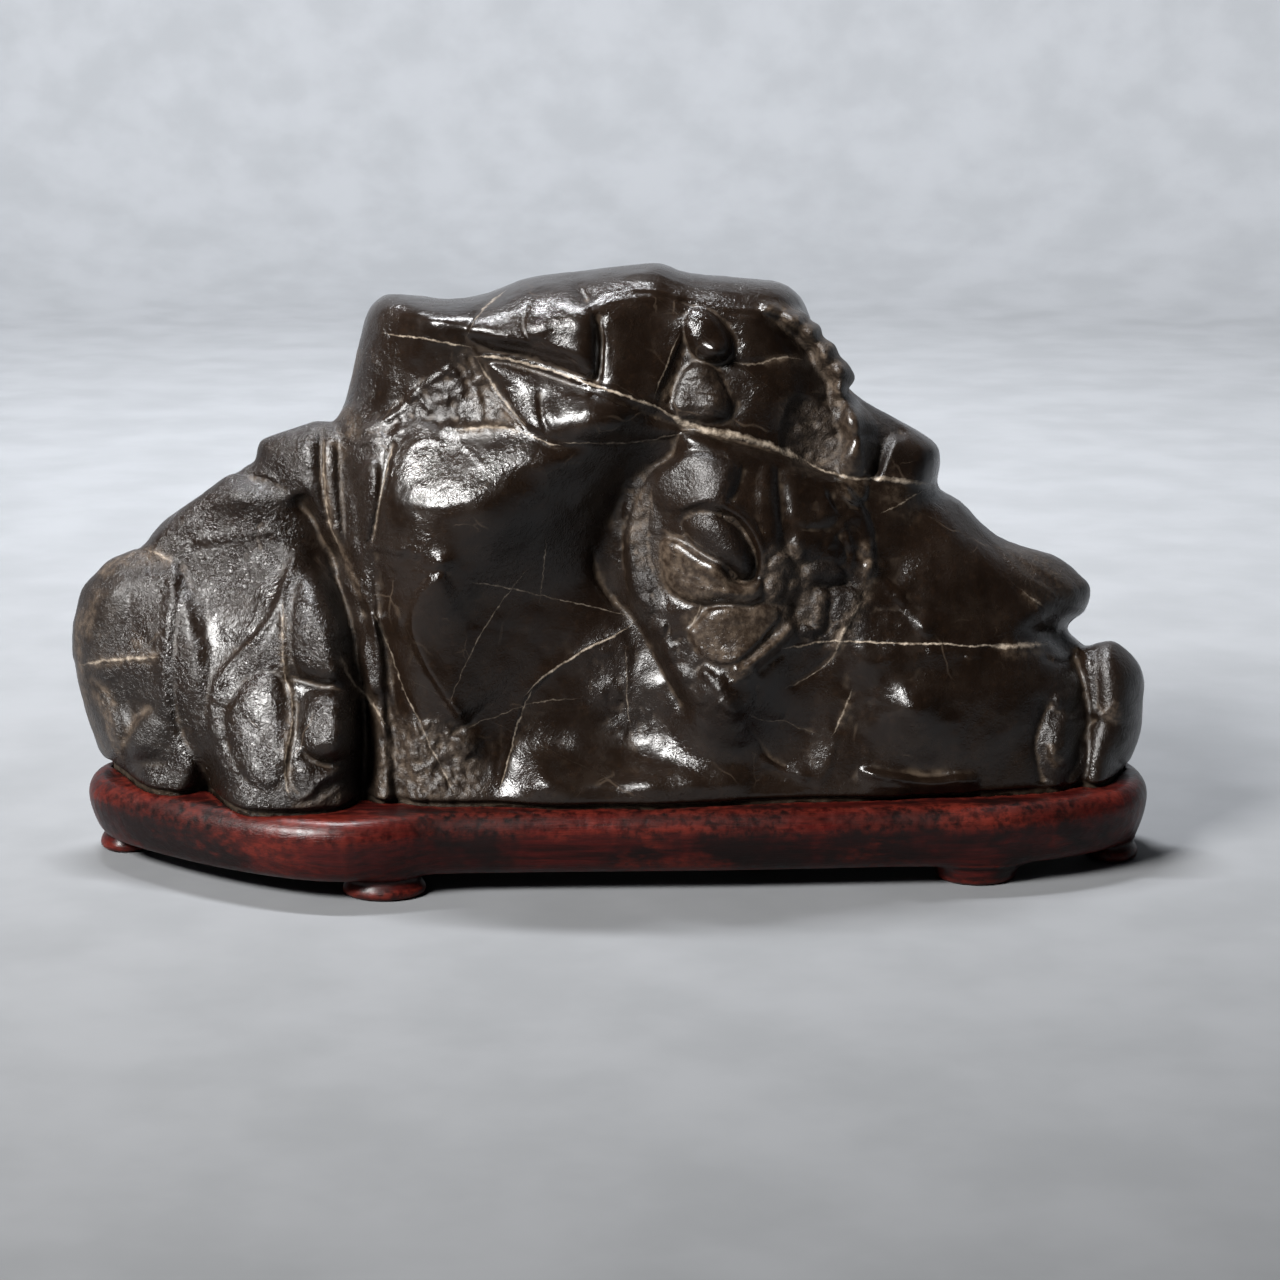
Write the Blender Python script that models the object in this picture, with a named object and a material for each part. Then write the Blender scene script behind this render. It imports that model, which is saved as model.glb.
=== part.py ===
"""Scholar's rock in its carved hardwood stand.

Frame: metres, +X along the stand, -Y the display side, +Z up, origin at the
bottom centre of the whole object.

The rock is one solid. It was laid out on a front elevation drawn in
perspective, from a station point 886 mm away and 13 degrees above level, so
its forms are given here by outlines in units of that drawing (3.4 units to the
millimetre at the rock) and by depths in millimetres. The field functions turn
that layout into a solid: each form is an outline swelled out to a front and a
back depth, and the forms are blended into one body.

The stand is one solid too: a long slab with a rounded wall, six low feet left
standing when the underside was cut away, and a seat sunk to the rock's base.
"""
import math

import bmesh
import bpy
import numpy as np

# ---------------------------------------------------------------- dimensions
MM = 0.001
STAND_TOP = 25.0        # highest line of the stand's rim
STAND_UNDER = 6.0       # underside of the slab, the feet's height
SEAT_FLOOR = 16.6       # floor of the seat
ROCK_FOOT = 17.0        # the rock's flat base
ROCK_LIP = 25.9         # the rock's forms begin above the rim
SEAT_GAP = 0.75         # clearance between rock and seat wall
BASE_INSET = 1.6        # how far the base stands in under the rock's lip
BLEND = 2.2             # softness of the joins between forms
GROW = 0.35             # makes up for what the flat facets lose
ROCK_CELL = 2.6         # sampling of the rock's solid
ROCK_FACES = 5600       # triangles left after simplifying it
STATIONS = 124          # stations round the stand

# drawing station point
TILT = math.radians(13.0)
SCALE = 3011.0
STATION = 885.6
SHIFT = (2.17, 4.03)     # plan move that puts the origin under the middle of the whole
CENTRE = 640.0
AIM_X, AIM_Z = 6.8, 64.0
EYE = (AIM_X, -STATION * math.cos(TILT), AIM_Z + STATION * math.sin(TILT))
UNIT = 1 / 3.4          # millimetres for one drawing unit

# drawing window
U0, U1, V0, V1, STEP = 30.0, 1190.0, 220.0, 940.0, 2.0


def to_drawing(x, y, z):
    """Where a point lands on the drawing."""
    c, s = math.cos(TILT), math.sin(TILT)
    rx, ry, rz = x - EYE[0], y - EYE[1], z - EYE[2]
    depth = ry * c - rz * s
    return CENTRE + SCALE * rx / depth, CENTRE - SCALE * (ry * s + rz * c) / depth


# ------------------------------------------------------------- small helpers
def smooth_line(points, closed=False, parts=4):
    """Catmull-Rom line through the points."""
    p = np.asarray(points, float)
    n = len(p)
    out = []
    for i in range(n if closed else n - 1):
        if closed:
            a, b, c, d = p[(i - 1) % n], p[i], p[(i + 1) % n], p[(i + 2) % n]
        else:
            a, b, c, d = p[max(i - 1, 0)], p[i], p[i + 1], p[min(i + 2, n - 1)]
        for t in np.arange(parts) / parts:
            out.append(0.5 * (2 * b + (c - a) * t + (2 * a - 5 * b + 4 * c - d) * t * t
                              + (3 * b - a - 3 * c + d) * t ** 3))
    if not closed:
        out.append(p[-1])
    return np.array(out)


def outline_distance(points, U, V):
    """Signed distance to a closed outline, positive inside."""
    p = smooth_line(points, closed=True, parts=3)
    q = np.roll(p, -1, axis=0)
    best = np.full(U.shape, 1e18)
    inside = np.zeros(U.shape, bool)
    for (ax, ay), (bx, by) in zip(p, q):
        dx, dy = bx - ax, by - ay
        t = np.clip(((U - ax) * dx + (V - ay) * dy) / (dx * dx + dy * dy + 1e-12), 0, 1)
        best = np.minimum(best, (U - ax - t * dx) ** 2 + (V - ay - t * dy) ** 2)
        if ay != by:
            cross = (ay > V) != (by > V)
            inside ^= cross & (U < ax + (V - ay) * dx / (by - ay))
    d = np.sqrt(best)
    return np.where(inside, d, -d)


def blur(a, sigma):
    """Gaussian blur of a raster, sigma in cells."""
    pad = int(4 * sigma) + 2
    b = np.pad(a, pad, mode="edge")
    fy = np.fft.fftfreq(b.shape[0])[:, None]
    fx = np.fft.rfftfreq(b.shape[1])[None, :]
    k = np.exp(-2 * (math.pi * sigma) ** 2 * (fx * fx + fy * fy))
    out = np.fft.irfft2(np.fft.rfft2(b) * k, s=b.shape)
    return out[pad:-pad, pad:-pad]


def through(points, U, V):
    """Thin-plate surface through (u, v, value) points."""
    p = np.asarray(points, float)
    s = 100.0
    x, y, f = p[:, 0] / s, p[:, 1] / s, p[:, 2]
    n = len(p)

    def kern(r2):
        return 0.5 * r2 * np.log(r2 + 1e-12)

    K = kern((x[:, None] - x) ** 2 + (y[:, None] - y) ** 2) + np.eye(n) * 0.01
    P = np.stack([np.ones(n), x, y], 1)
    A = np.block([[K, P], [P.T, np.zeros((3, 3))]])
    w = np.linalg.solve(A, np.concatenate([f, np.zeros(3)]))
    out = w[n] + w[n + 1] * U / s + w[n + 2] * V / s
    for i in range(n):
        out = out + w[i] * kern((U / s - x[i]) ** 2 + (V / s - y[i]) ** 2)
    return out


def look_up(raster, a, b, a0, b0, step):
    """Bilinear reading of a raster[b, a] whose corner is (a0, b0)."""
    fa = np.clip((a - a0) / step, 0, raster.shape[1] - 1.001)
    fb = np.clip((b - b0) / step, 0, raster.shape[0] - 1.001)
    ia, ib = fa.astype(np.int32), fb.astype(np.int32)
    ta, tb = fa - ia, fb - ib
    r = raster
    return ((r[ib, ia] * (1 - ta) + r[ib, ia + 1] * ta) * (1 - tb)
            + (r[ib + 1, ia] * (1 - ta) + r[ib + 1, ia + 1] * ta) * tb)


def soft_max(a, b, k):
    h = np.clip(0.5 + 0.5 * (a - b) / k, 0, 1)
    return b + (a - b) * h + k * h * (1 - h)


# ------------------------------------------------------------ the rock's forms
# Every form: outline on the drawing, depth of its rim (mid), front depth as a
# number or as (u, v, depth) points, back depth, shoulder widths, roundness.
MASSIF_FRONT = [
    (380, 330, -14), (430, 330, -25), (480, 330, -26), (540, 320, -28), (600, 320, -31),
    (650, 320, -25), (700, 320, -24), (760, 320, -21), (810, 345, -16),
    (350, 400, -11), (390, 390, -19), (440, 390, -26), (500, 385, -27), (560, 395, -32),
    (600, 420, -38), (640, 410, -34), (690, 385, -27), (740, 390, -27), (790, 400, -24),
    (850, 400, -18), (900, 430, -12),
    (350, 450, -20), (400, 448, -29), (450, 450, -34), (485, 452, -37.5), (530, 455, -40),
    (600, 455, -34), (650, 455, -27), (700, 455, -31), (760, 450, -28), (810, 450, -21),
    (860, 450, -19), (920, 460, -12),
    (350, 515, -24), (395, 505, -37), (430, 508, -41.5), (480, 510, -45), (540, 515, -38),
    (600, 520, -27), (632, 530, -24), (700, 530, -35), (750, 530, -36), (810, 530, -30),
    (870, 530, -24), (930, 530, -18),
    (420, 560, -42), (465, 560, -42), (525, 560, -35),
    (360, 600, -24), (400, 600, -36), (430, 600, -42), (480, 600, -37), (540, 600, -30),
    (600, 600, -26), (650, 600, -30), (700, 600, -36), (760, 600, -37), (820, 600, -31),
    (880, 600, -26), (940, 600, -22),
    (370, 690, -28), (410, 680, -36), (450, 690, -39), (500, 690, -33), (560, 690, -29),
    (620, 690, -28), (670, 690, -32), (720, 690, -39), (780, 670, -36), (850, 690, -31),
    (920, 690, -32),
    (380, 760, -36), (440, 750, -38), (500, 745, -33), (560, 745, -32), (640, 745, -31),
    (720, 740, -37), (780, 750, -34), (850, 750, -33), (920, 750, -33),
    (400, 800, -40), (470, 788, -40), (560, 787, -42), (650, 787, -42), (740, 787, -39),
    (810, 785, -36), (900, 785, -34), (640, 880, -41), (400, 880, -41), (900, 880, -33),
]

FORMS = {
    "massif": dict(
        outline=[(345, 402), (354, 365), (361, 336), (368, 311), (381, 297), (400, 294),
                 (450, 299), (488, 293), (519, 281), (545, 275), (590, 270), (636, 265),
                 (661, 264), (690, 274), (742, 278), (780, 282), (801, 297), (812, 323),
                 (826, 351), (840, 379), (862, 399), (901, 421), (932, 440), (940, 455),
                 (937, 482), (932, 520), (934, 570), (940, 640), (950, 700), (950, 790),
                 (930, 900), (640, 915), (380, 915), (366, 830), (366, 770), (356, 700),
                 (348, 640), (338, 580), (330, 520), (327, 460), (334, 425)],
        mid=6, front=MASSIF_FRONT,
        back=[(380, 330, 22), (520, 310, 30), (700, 300, 28), (800, 330, 22), (360, 450, 27),
              (500, 440, 38), (640, 420, 34), (760, 430, 39), (900, 470, 24), (380, 600, 33),
              (500, 560, 37), (620, 600, 43), (760, 580, 38), (900, 600, 30), (420, 720, 38),
              (560, 740, 41), (700, 720, 44), (860, 740, 38), (400, 850, 38), (640, 860, 40),
              (900, 860, 36)],
        wf=[(380, 320, 8), (430, 340, 8), (480, 320, 12), (345, 400, 8), (540, 300, 20),
            (600, 300, 17), (660, 300, 14), (760, 300, 14), (820, 340, 12), (860, 400, 11),
            (930, 450, 8), (930, 560, 16), (350, 560, 18), (350, 700, 18), (640, 860, 20),
            (500, 500, 21), (700, 600, 21)],
        wb=24, p=2.3),
    "core": dict(
        outline=[(98, 640), (110, 590), (160, 560), (215, 500), (262, 470), (300, 440),
                 (345, 440), (375, 330), (400, 312), (600, 290), (760, 300), (850, 400),
                 (920, 460), (950, 515), (1040, 580), (1066, 600), (1067, 628),
                 (1088, 650), (1122, 672), (1124, 740), (1100, 800), (1080, 900),
                 (640, 920), (200, 900), (130, 800), (108, 730)],
        mid=6, front=[(110, 650, -6), (200, 600, -12), (400, 500, -14), (800, 500, -14),
                      (1000, 620, -10), (1110, 720, -6)],
        back=[(110, 650, 12), (130, 780, 12), (170, 600, 20), (200, 760, 24), (300, 500, 28),
              (300, 780, 33), (500, 700, 36), (800, 700, 36), (900, 550, 30), (1000, 760, 31),
              (1050, 640, 20), (1110, 700, 11), (1110, 780, 12)],
        wf=22, wb=24, p=2.2),
    "left_boulder": dict(
        outline=[(73, 634), (76, 615), (82, 590), (93, 576), (107, 561), (121, 554),
                 (144, 548), (186, 556), (208, 590), (220, 640), (224, 700), (218, 770),
                 (180, 830), (135, 830), (121, 773), (100, 750), (88, 716), (80, 690),
                 (76, 668)],
        mid=4, front=[(90, 610, -8), (112, 590, -10), (138, 565, -9), (168, 568, -12),
                      (112, 640, -14), (138, 650, -19), (168, 650, -23), (100, 680, -13),
                      (136, 690, -18), (165, 700, -24), (100, 720, -12), (136, 735, -22),
                      (165, 740, -25), (150, 770, -26)],
        back=[(85, 640, 12), (130, 600, 18), (180, 600, 23), (110, 740, 13), (180, 760, 21)],
        wf=9, wb=13, p=1.9),
    "left_wedge": dict(
        outline=[(143, 550), (148, 540), (157, 528), (174, 513), (205, 505), (215, 560),
                 (180, 590), (150, 575)],
        mid=6, front=-8, back=22, wf=7, wb=10, p=2.0),
    "left_lobe": dict(
        outline=[(170, 545), (172, 525), (178, 512), (190, 502), (212, 486), (231, 474),
                 (252, 476), (276, 484), (298, 502), (316, 528), (334, 562), (350, 600),
                 (362, 645), (369, 700), (372, 760), (368, 850), (300, 880), (225, 850),
                 (200, 783), (186, 763), (175, 742), (166, 716), (161, 690), (160, 655),
                 (163, 615), (168, 575)],
        mid=-2, front=[(190, 500, -10), (231, 484, -12), (285, 500, -15), (195, 540, -10),
                       (240, 540, -13.5), (290, 540, -16), (322, 560, -17), (188, 600, -16),
                       (240, 600, -21), (285, 600, -27), (330, 600, -27), (178, 660, -23),
                       (215, 660, -27), (262, 660, -33), (300, 660, -35), (340, 660, -37),
                       (190, 710, -30), (225, 710, -34), (270, 710, -38), (300, 710, -39),
                       (345, 710, -43), (205, 750, -35), (240, 755, -41), (285, 760, -46),
                       (320, 760, -46), (355, 770, -42), (230, 800, -47), (300, 810, -50),
                       (350, 806, -46)],
        back=24, wf=12, wb=14, p=2.0),
    "nodule_chain": dict(
        outline=[(782, 309), (790, 308), (806, 313), (811, 320), (820, 326), (824, 337),
                 (835, 344), (841, 356), (850, 365), (855, 379), (848, 391), (857, 404),
                 (869, 414), (874, 427), (873, 444), (867, 467), (856, 478), (842, 470),
                 (835, 456), (841, 441), (837, 423), (839, 408), (832, 396), (829, 383),
                 (819, 373), (811, 364), (812, 352), (803, 343), (794, 334), (782, 326),
                 (776, 316)],
        mid=-9, front=[(785, 318, -21), (812, 340, -19.5), (838, 370, -19), (836, 394, -21),
                       (856, 420, -22), (858, 445, -22.5), (852, 470, -23)],
        back=-2, wf=6, wb=8, p=2.0),
    "upper_left_block": dict(
        outline=[(240, 476), (244, 467), (255, 460), (259, 443), (270, 436), (303, 425),
                 (320, 421), (345, 428), (352, 470), (352, 560), (322, 545), (296, 506),
                 (262, 492)],
        mid=0, front=[(260, 460, -8), (300, 440, -14), (335, 440, -17), (335, 520, -24),
                      (300, 480, -17)],
        back=24, wf=8, wb=12, p=2.1),
    "pillar": dict(
        outline=[(330, 440), (342, 412), (362, 400), (392, 430), (396, 480), (388, 560),
                 (392, 640), (400, 730), (404, 830), (372, 880), (352, 830), (358, 740),
                 (348, 640), (334, 560), (328, 500)],
        mid=-4, front=[(350, 440, -17), (380, 480, -27), (360, 560, -27), (370, 650, -32),
                       (380, 720, -35), (380, 800, -40)],
        back=10, wf=7, wb=10, p=2.0),
    "tail": dict(
        outline=[(838, 470), (870, 440), (920, 470), (938, 488), (960, 501), (982, 524),
                 (1008, 541), (1051, 554), (1080, 575), (1090, 589), (1084, 611),
                 (1068, 622), (1050, 640), (1000, 670), (900, 690), (840, 680), (826, 560)],
        mid=8, front=[(870, 500, -17), (940, 510, -14), (870, 560, -24), (930, 560, -23),
                      (990, 560, -16), (1050, 580, -9), (880, 620, -29), (940, 620, -28),
                      (1010, 620, -21), (1060, 610, -11)],
        back=[(860, 520, 27), (960, 540, 25), (1060, 590, 19), (900, 620, 30), (1020, 620, 24)],
        wf=11, wb=13, p=2.1),
    "haunch": dict(
        outline=[(800, 600), (880, 590), (960, 590), (1020, 604), (1052, 636), (1090, 676),
                 (1100, 730), (1096, 790), (1080, 860), (960, 890), (800, 890)],
        mid=2, back=[(840, 700, 34), (960, 690, 33), (1050, 700, 25), (1090, 760, 19),
                     (840, 800, 34), (960, 800, 31)],
        front=[(840, 620, -29), (900, 620, -29), (960, 620, -26), (1020, 630, -21),
                      (840, 700, -31), (900, 690, -34), (960, 690, -32), (1020, 700, -27),
                      (1070, 700, -19), (860, 760, -34), (950, 760, -33), (1020, 760, -29),
                      (1080, 760, -24), (900, 800, -32), (1040, 800, -27)],
        wf=13, wb=16, p=2.1),
    "right_knob": dict(
        outline=[(1076, 655), (1092, 645), (1102, 642), (1112, 641), (1122, 646),
                 (1133, 656), (1141, 668), (1144, 682), (1143, 702), (1140, 732),
                 (1131, 758), (1122, 774), (1116, 830), (1080, 840), (1072, 780),
                 (1080, 715)],
        mid=0, front=[(1110, 670, -13), (1120, 710, -16), (1110, 750, -20), (1090, 780, -24)],
        back=13, wf=9, wb=9, p=2.0),
}


def drawing_raster(step=STEP):
    U, V = np.meshgrid(np.arange(U0, U1 + step, step), np.arange(V0, V1 + step, step))
    return U, V


def prepare_forms(step=STEP):
    """Rasters of each form's outline distance, front depth, back depth and shoulder (mm)."""
    U, V = drawing_raster(step)
    made = []
    for form in FORMS.values():
        d = outline_distance(form["outline"], U, V) * UNIT
        soft = blur(d, 5.0 / step)
        near = np.clip(d / 6.0, 0, 1)
        d = d * (1 - near) + soft * near
        sides = []
        for side in (form["front"], form["back"], form["wf"]):
            sides.append(through(side, U, V) if isinstance(side, list)
                         else np.full(U.shape, float(side)))
        sides[2] = np.clip(sides[2], 6.0, 24.0)
        made.append((form, d, *sides))
    return made


def forms_field(made, x, y, z, step=STEP):
    """The blended forms, about a signed distance, positive inside."""
    u, v = to_drawing(x, y, z)
    total = None
    for form, dist, front, back, shoulder in made:
        d = look_up(dist, u, v, U0, V0, step)
        q = y - form["mid"]
        ahead = q < 0
        h = np.maximum(np.where(ahead, form["mid"] - look_up(front, u, v, U0, V0, step),
                                look_up(back, u, v, U0, V0, step) - form["mid"]), 4.0)
        w = np.where(ahead, look_up(shoulder, u, v, U0, V0, step), form["wb"])
        p = form["p"]
        r = (np.maximum(0, 1 - d / w) ** p + (np.abs(q) / h) ** p) ** (1 / p)
        one = np.minimum(w, h) * (1 - r)
        total = one if total is None else soft_max(total, one, BLEND)
    return total


class Plan:
    """The rock's base in plan, read from its forms just above the rim."""

    def __init__(self, made):
        X, Y = np.meshgrid(np.arange(-170, 171, 1.0), np.arange(-70, 71, 1.0))
        f = forms_field(made, X, Y, np.full(X.shape, ROCK_LIP + 1.2))
        gy, gx = np.gradient(f)
        f = f / np.maximum(np.hypot(gx, gy), 0.35)
        self.raster = blur(np.clip(f, -40, 40), 2.2) - BASE_INSET

    def at(self, x, y):
        return look_up(self.raster, x, y, -170.0, -70.0, 1.0)


def rock_field(made, plan, x, y, z, grow=0.0):
    body = forms_field(made, x, y, z) + grow
    above = z - ROCK_LIP
    body = -soft_max(-body, -above, 1.6)
    foot = plan.at(x, y)
    foot = -soft_max(-foot, -(z - ROCK_FOOT), 0.8)
    foot = np.minimum(foot, ROCK_LIP + 4.0 - z)
    return soft_max(body, foot, 1.0)


# ------------------------------------------------------------ surface of a field
def net_surface(values, positions):
    """One quad net on the zero surface of values (positive inside).

    values is [i, j, k]; positions maps float grid coordinates to space.
    """
    inside = values > 0
    n0, n1, n2 = values.shape
    cell = np.zeros((n0 - 1, n1 - 1, n2 - 1), bool)
    count = np.zeros(cell.shape, np.int8)
    for a in (0, 1):
        for b in (0, 1):
            for c in (0, 1):
                count += inside[a:n0 - 1 + a, b:n1 - 1 + b, c:n2 - 1 + c]
    cell = (count > 0) & (count < 8)
    ids = np.full(cell.shape, -1, np.int64)
    at = np.argwhere(cell)
    ids[cell] = np.arange(len(at))
    i, j, k = at.T
    total = np.zeros((len(at), 3))
    hits = np.zeros(len(at))
    corners = [(a, b, c) for a in (0, 1) for b in (0, 1) for c in (0, 1)]
    for a in corners:
        for axis in range(3):
            if a[axis]:
                continue
            b = list(a)
            b[axis] = 1
            fa = values[i + a[0], j + a[1], k + a[2]]
            fb = values[i + b[0], j + b[1], k + b[2]]
            crossing = (fa > 0) != (fb > 0)
            t = np.where(crossing, fa / np.where(crossing, fa - fb, 1), 0)
            point = np.tile(np.array(a, float), (len(at), 1))
            point[:, axis] += t
            total[crossing] += point[crossing]
            hits += crossing
    coords = at + total / hits[:, None]
    quads = []
    for axis in range(3):
        one = [slice(None)] * 3
        two = [slice(None)] * 3
        one[axis] = slice(0, -1)
        two[axis] = slice(1, None)
        cross = inside[tuple(one)] != inside[tuple(two)]
        e = np.argwhere(cross)
        o1, o2 = (axis + 1) % 3, (axis + 2) % 3
        ok = (e[:, o1] > 0) & (e[:, o2] > 0) & (e[:, o1] < values.shape[o1] - 1) & (e[:, o2] < values.shape[o2] - 1)
        e = e[ok]
        start_in = inside[e[:, 0], e[:, 1], e[:, 2]]
        ring = []
        for s1, s2 in ((-1, -1), (0, -1), (0, 0), (-1, 0)):
            c = e.copy()
            c[:, o1] += s1
            c[:, o2] += s2
            ring.append(ids[c[:, 0], c[:, 1], c[:, 2]])
        ring = np.stack(ring, 1)
        ring[~start_in] = ring[~start_in][:, ::-1]
        quads.append(ring)
    return positions(coords), np.concatenate(quads)


def settle(values, fill):
    """Fills the sample points that would let two sheets of the net share an edge."""
    for _ in range(12):
        found = 0
        for axis in range(3):
            o1, o2 = (axis + 1) % 3, (axis + 2) % 3
            v = np.moveaxis(values, (o1, o2, axis), (0, 1, 2))
            a, b, c, d = v[:-1, :-1] > 0, v[1:, :-1] > 0, v[1:, 1:] > 0, v[:-1, 1:] > 0
            mixed = (a == c) & (b == d) & (a != b)
            for i, j, k in np.argwhere(mixed):
                found += 1
                for s, t in ((0, 0), (1, 0), (1, 1), (0, 1)):
                    if v[i + s, j + t, k] <= 0:
                        v[i + s, j + t, k] = fill
        if not found:
            break
    return values


def rock_solid(made, plan, cell):
    lo = np.array([-168.0, -62.0, 13.0])
    hi = np.array([168.0, 54.0, 182.0])
    n = np.ceil((hi - lo) / cell).astype(int) + 1
    axes = [lo[a] + cell * np.arange(n[a]) for a in range(3)]
    X, Y, Z = np.meshgrid(*axes, indexing="ij")
    values = settle(rock_field(made, plan, X, Y, Z, GROW), 0.1 * cell)
    return net_surface(values, lambda c: lo + cell * c)


def relax(points, faces, field, rounds):
    """Evens the net out along the surface, and puts it back on the surface."""
    edges = np.concatenate([faces[:, [0, 1]], faces[:, [1, 2]], faces[:, [2, 3]], faces[:, [3, 0]]])
    n = len(points)
    deg = np.bincount(edges.ravel(), minlength=n)[:, None].astype(float)
    for _ in range(rounds):
        mean = np.zeros_like(points)
        for a in range(3):
            mean[:, a] = (np.bincount(edges[:, 0], points[edges[:, 1], a], n)
                          + np.bincount(edges[:, 1], points[edges[:, 0], a], n))
        points = points + 0.5 * (mean / deg - points)
        for _ in range(2):
            f = field(*points.T)
            g = np.stack([(field(*(points + d).T) - field(*(points - d).T)) / 0.6
                          for d in np.eye(3) * 0.3], 1)
            step = f[:, None] * g / np.maximum((g * g).sum(1), 0.05)[:, None]
            points = points - np.clip(step, -1.0, 1.0)
    return points


# ------------------------------------------------------------------ the stand
# widest line of the stand's wall in plan, from the left end along the front
STAND_PLAN = [
    (-157.0, 2.0), (-155.2, -9.0), (-148.5, -19.0), (-135.5, -30.5), (-119.0, -42.5),
    (-103.0, -51.5), (-89.0, -57.0), (-76.0, -58.8), (-64.0, -56.0), (-50.0, -51.5),
    (-30.0, -50.0), (0.0, -49.0), (30.0, -48.0), (60.0, -46.0), (80.0, -44.5),
    (96.0, -44.0), (110.0, -42.5), (125.0, -38.0), (140.0, -30.5), (150.5, -21.5),
    (155.8, -11.0), (157.2, 0.0), (155.6, 10.5), (149.0, 20.0), (137.0, 29.0),
    (119.0, 37.5), (98.0, 43.0), (70.0, 46.5), (30.0, 50.5), (-10.0, 49.5),
    (-45.0, 46.5), (-70.0, 44.5), (-90.0, 42.0), (-112.0, 37.0), (-132.0, 29.0),
    (-147.0, 19.5), (-154.8, 10.8)]

# wall section: how far in from the widest line, and the height
WALL = [(7.0, STAND_UNDER), (5.2, 6.5), (3.0, 8.8), (1.0, 13.4), (0.0, 18.4),
        (0.6, 21.4), (2.0, 23.5), (4.0, 24.7), (6.4, STAND_TOP)]

# feet: plan position, half length along the edge, half width, turn in degrees
FEET = [(-146.5, 5.0, 10.5, 8.5, 90), (-66.0, -42.5, 12.0, 10.0, 0),
        (104.0, -28.0, 12.0, 10.0, 0), (146.5, -5.0, 10.5, 8.0, 90),
        (102.0, 30.0, 10.5, 9.5, 0), (-70.0, 31.5, 12.0, 9.5, 0)]
FOOT = [(0.86, 0.0), (0.98, 0.8), (1.0, 2.0), (0.92, 3.4), (0.81, 4.9), (0.86, 7.5)]


def even_loop(points, count):
    fine = smooth_line(points, closed=True, parts=40)
    fine = np.vstack([fine, fine[:1]])
    run = np.concatenate([[0], np.cumsum(np.hypot(*np.diff(fine, axis=0).T))])
    s = np.arange(count) / count * run[-1]
    return np.stack([np.interp(s, run, fine[:, 0]), np.interp(s, run, fine[:, 1])], 1)


def outward(loop):
    t = np.roll(loop, -1, axis=0) - np.roll(loop, 1, axis=0)
    t /= np.linalg.norm(t, axis=1)[:, None]
    n = np.stack([t[:, 1], -t[:, 0]], 1)
    return n


def mesh_object(name, verts, faces, color, roughness):
    mesh = bpy.data.meshes.new(name)
    place = np.array([SHIFT[0], SHIFT[1], 0.0])
    mesh.from_pydata([tuple(map(float, v)) for v in (np.asarray(verts) + place) * MM], [],
                     [tuple(map(int, f)) for f in faces])
    mesh.validate()
    mat = bpy.data.materials.new(name + "_finish")
    mat.use_nodes = True
    shader = mat.node_tree.nodes["Principled BSDF"]
    shader.inputs["Base Color"].default_value = (*color, 1)
    shader.inputs["Roughness"].default_value = roughness
    shader.inputs["Metallic"].default_value = 0.0
    mesh.materials.append(mat)
    obj = bpy.data.objects.new(name, mesh)
    bpy.context.scene.collection.objects.link(obj)
    mesh.shade_smooth()
    mesh.set_sharp_from_angle(angle=math.radians(50))
    return obj


def seat_loop(plan, loop):
    """Where the seat's wall stands, looking in from each station."""
    aim = np.stack([np.clip(loop[:, 0] * 0.82, -118, 118), np.full(len(loop), 0.0)], 1)
    t = np.linspace(0, 1, 1200)[None, :, None]
    path = loop[:, None] * (1 - t) + aim[:, None] * t
    gap = plan.at(path[..., 0], path[..., 1]) + SEAT_GAP
    first = np.argmax(gap > 0, axis=1)
    row = np.arange(len(loop))
    share = np.linspace(0, 1, 12)[None, :, None]
    for _ in range(400):
        # straight runs between stations must clear the rock as well
        p = path[row, first]
        q = np.roll(p, -1, axis=0)
        run = p[:, None] * (1 - share) + q[:, None] * share
        tight = (plan.at(run[..., 0], run[..., 1]) > 0.15 - SEAT_GAP).any(axis=1)
        if not tight.any():
            break
        move = tight | np.roll(tight, 1)
        first = np.maximum(first - 2 * move, 0)
    return path[row, first]


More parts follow.
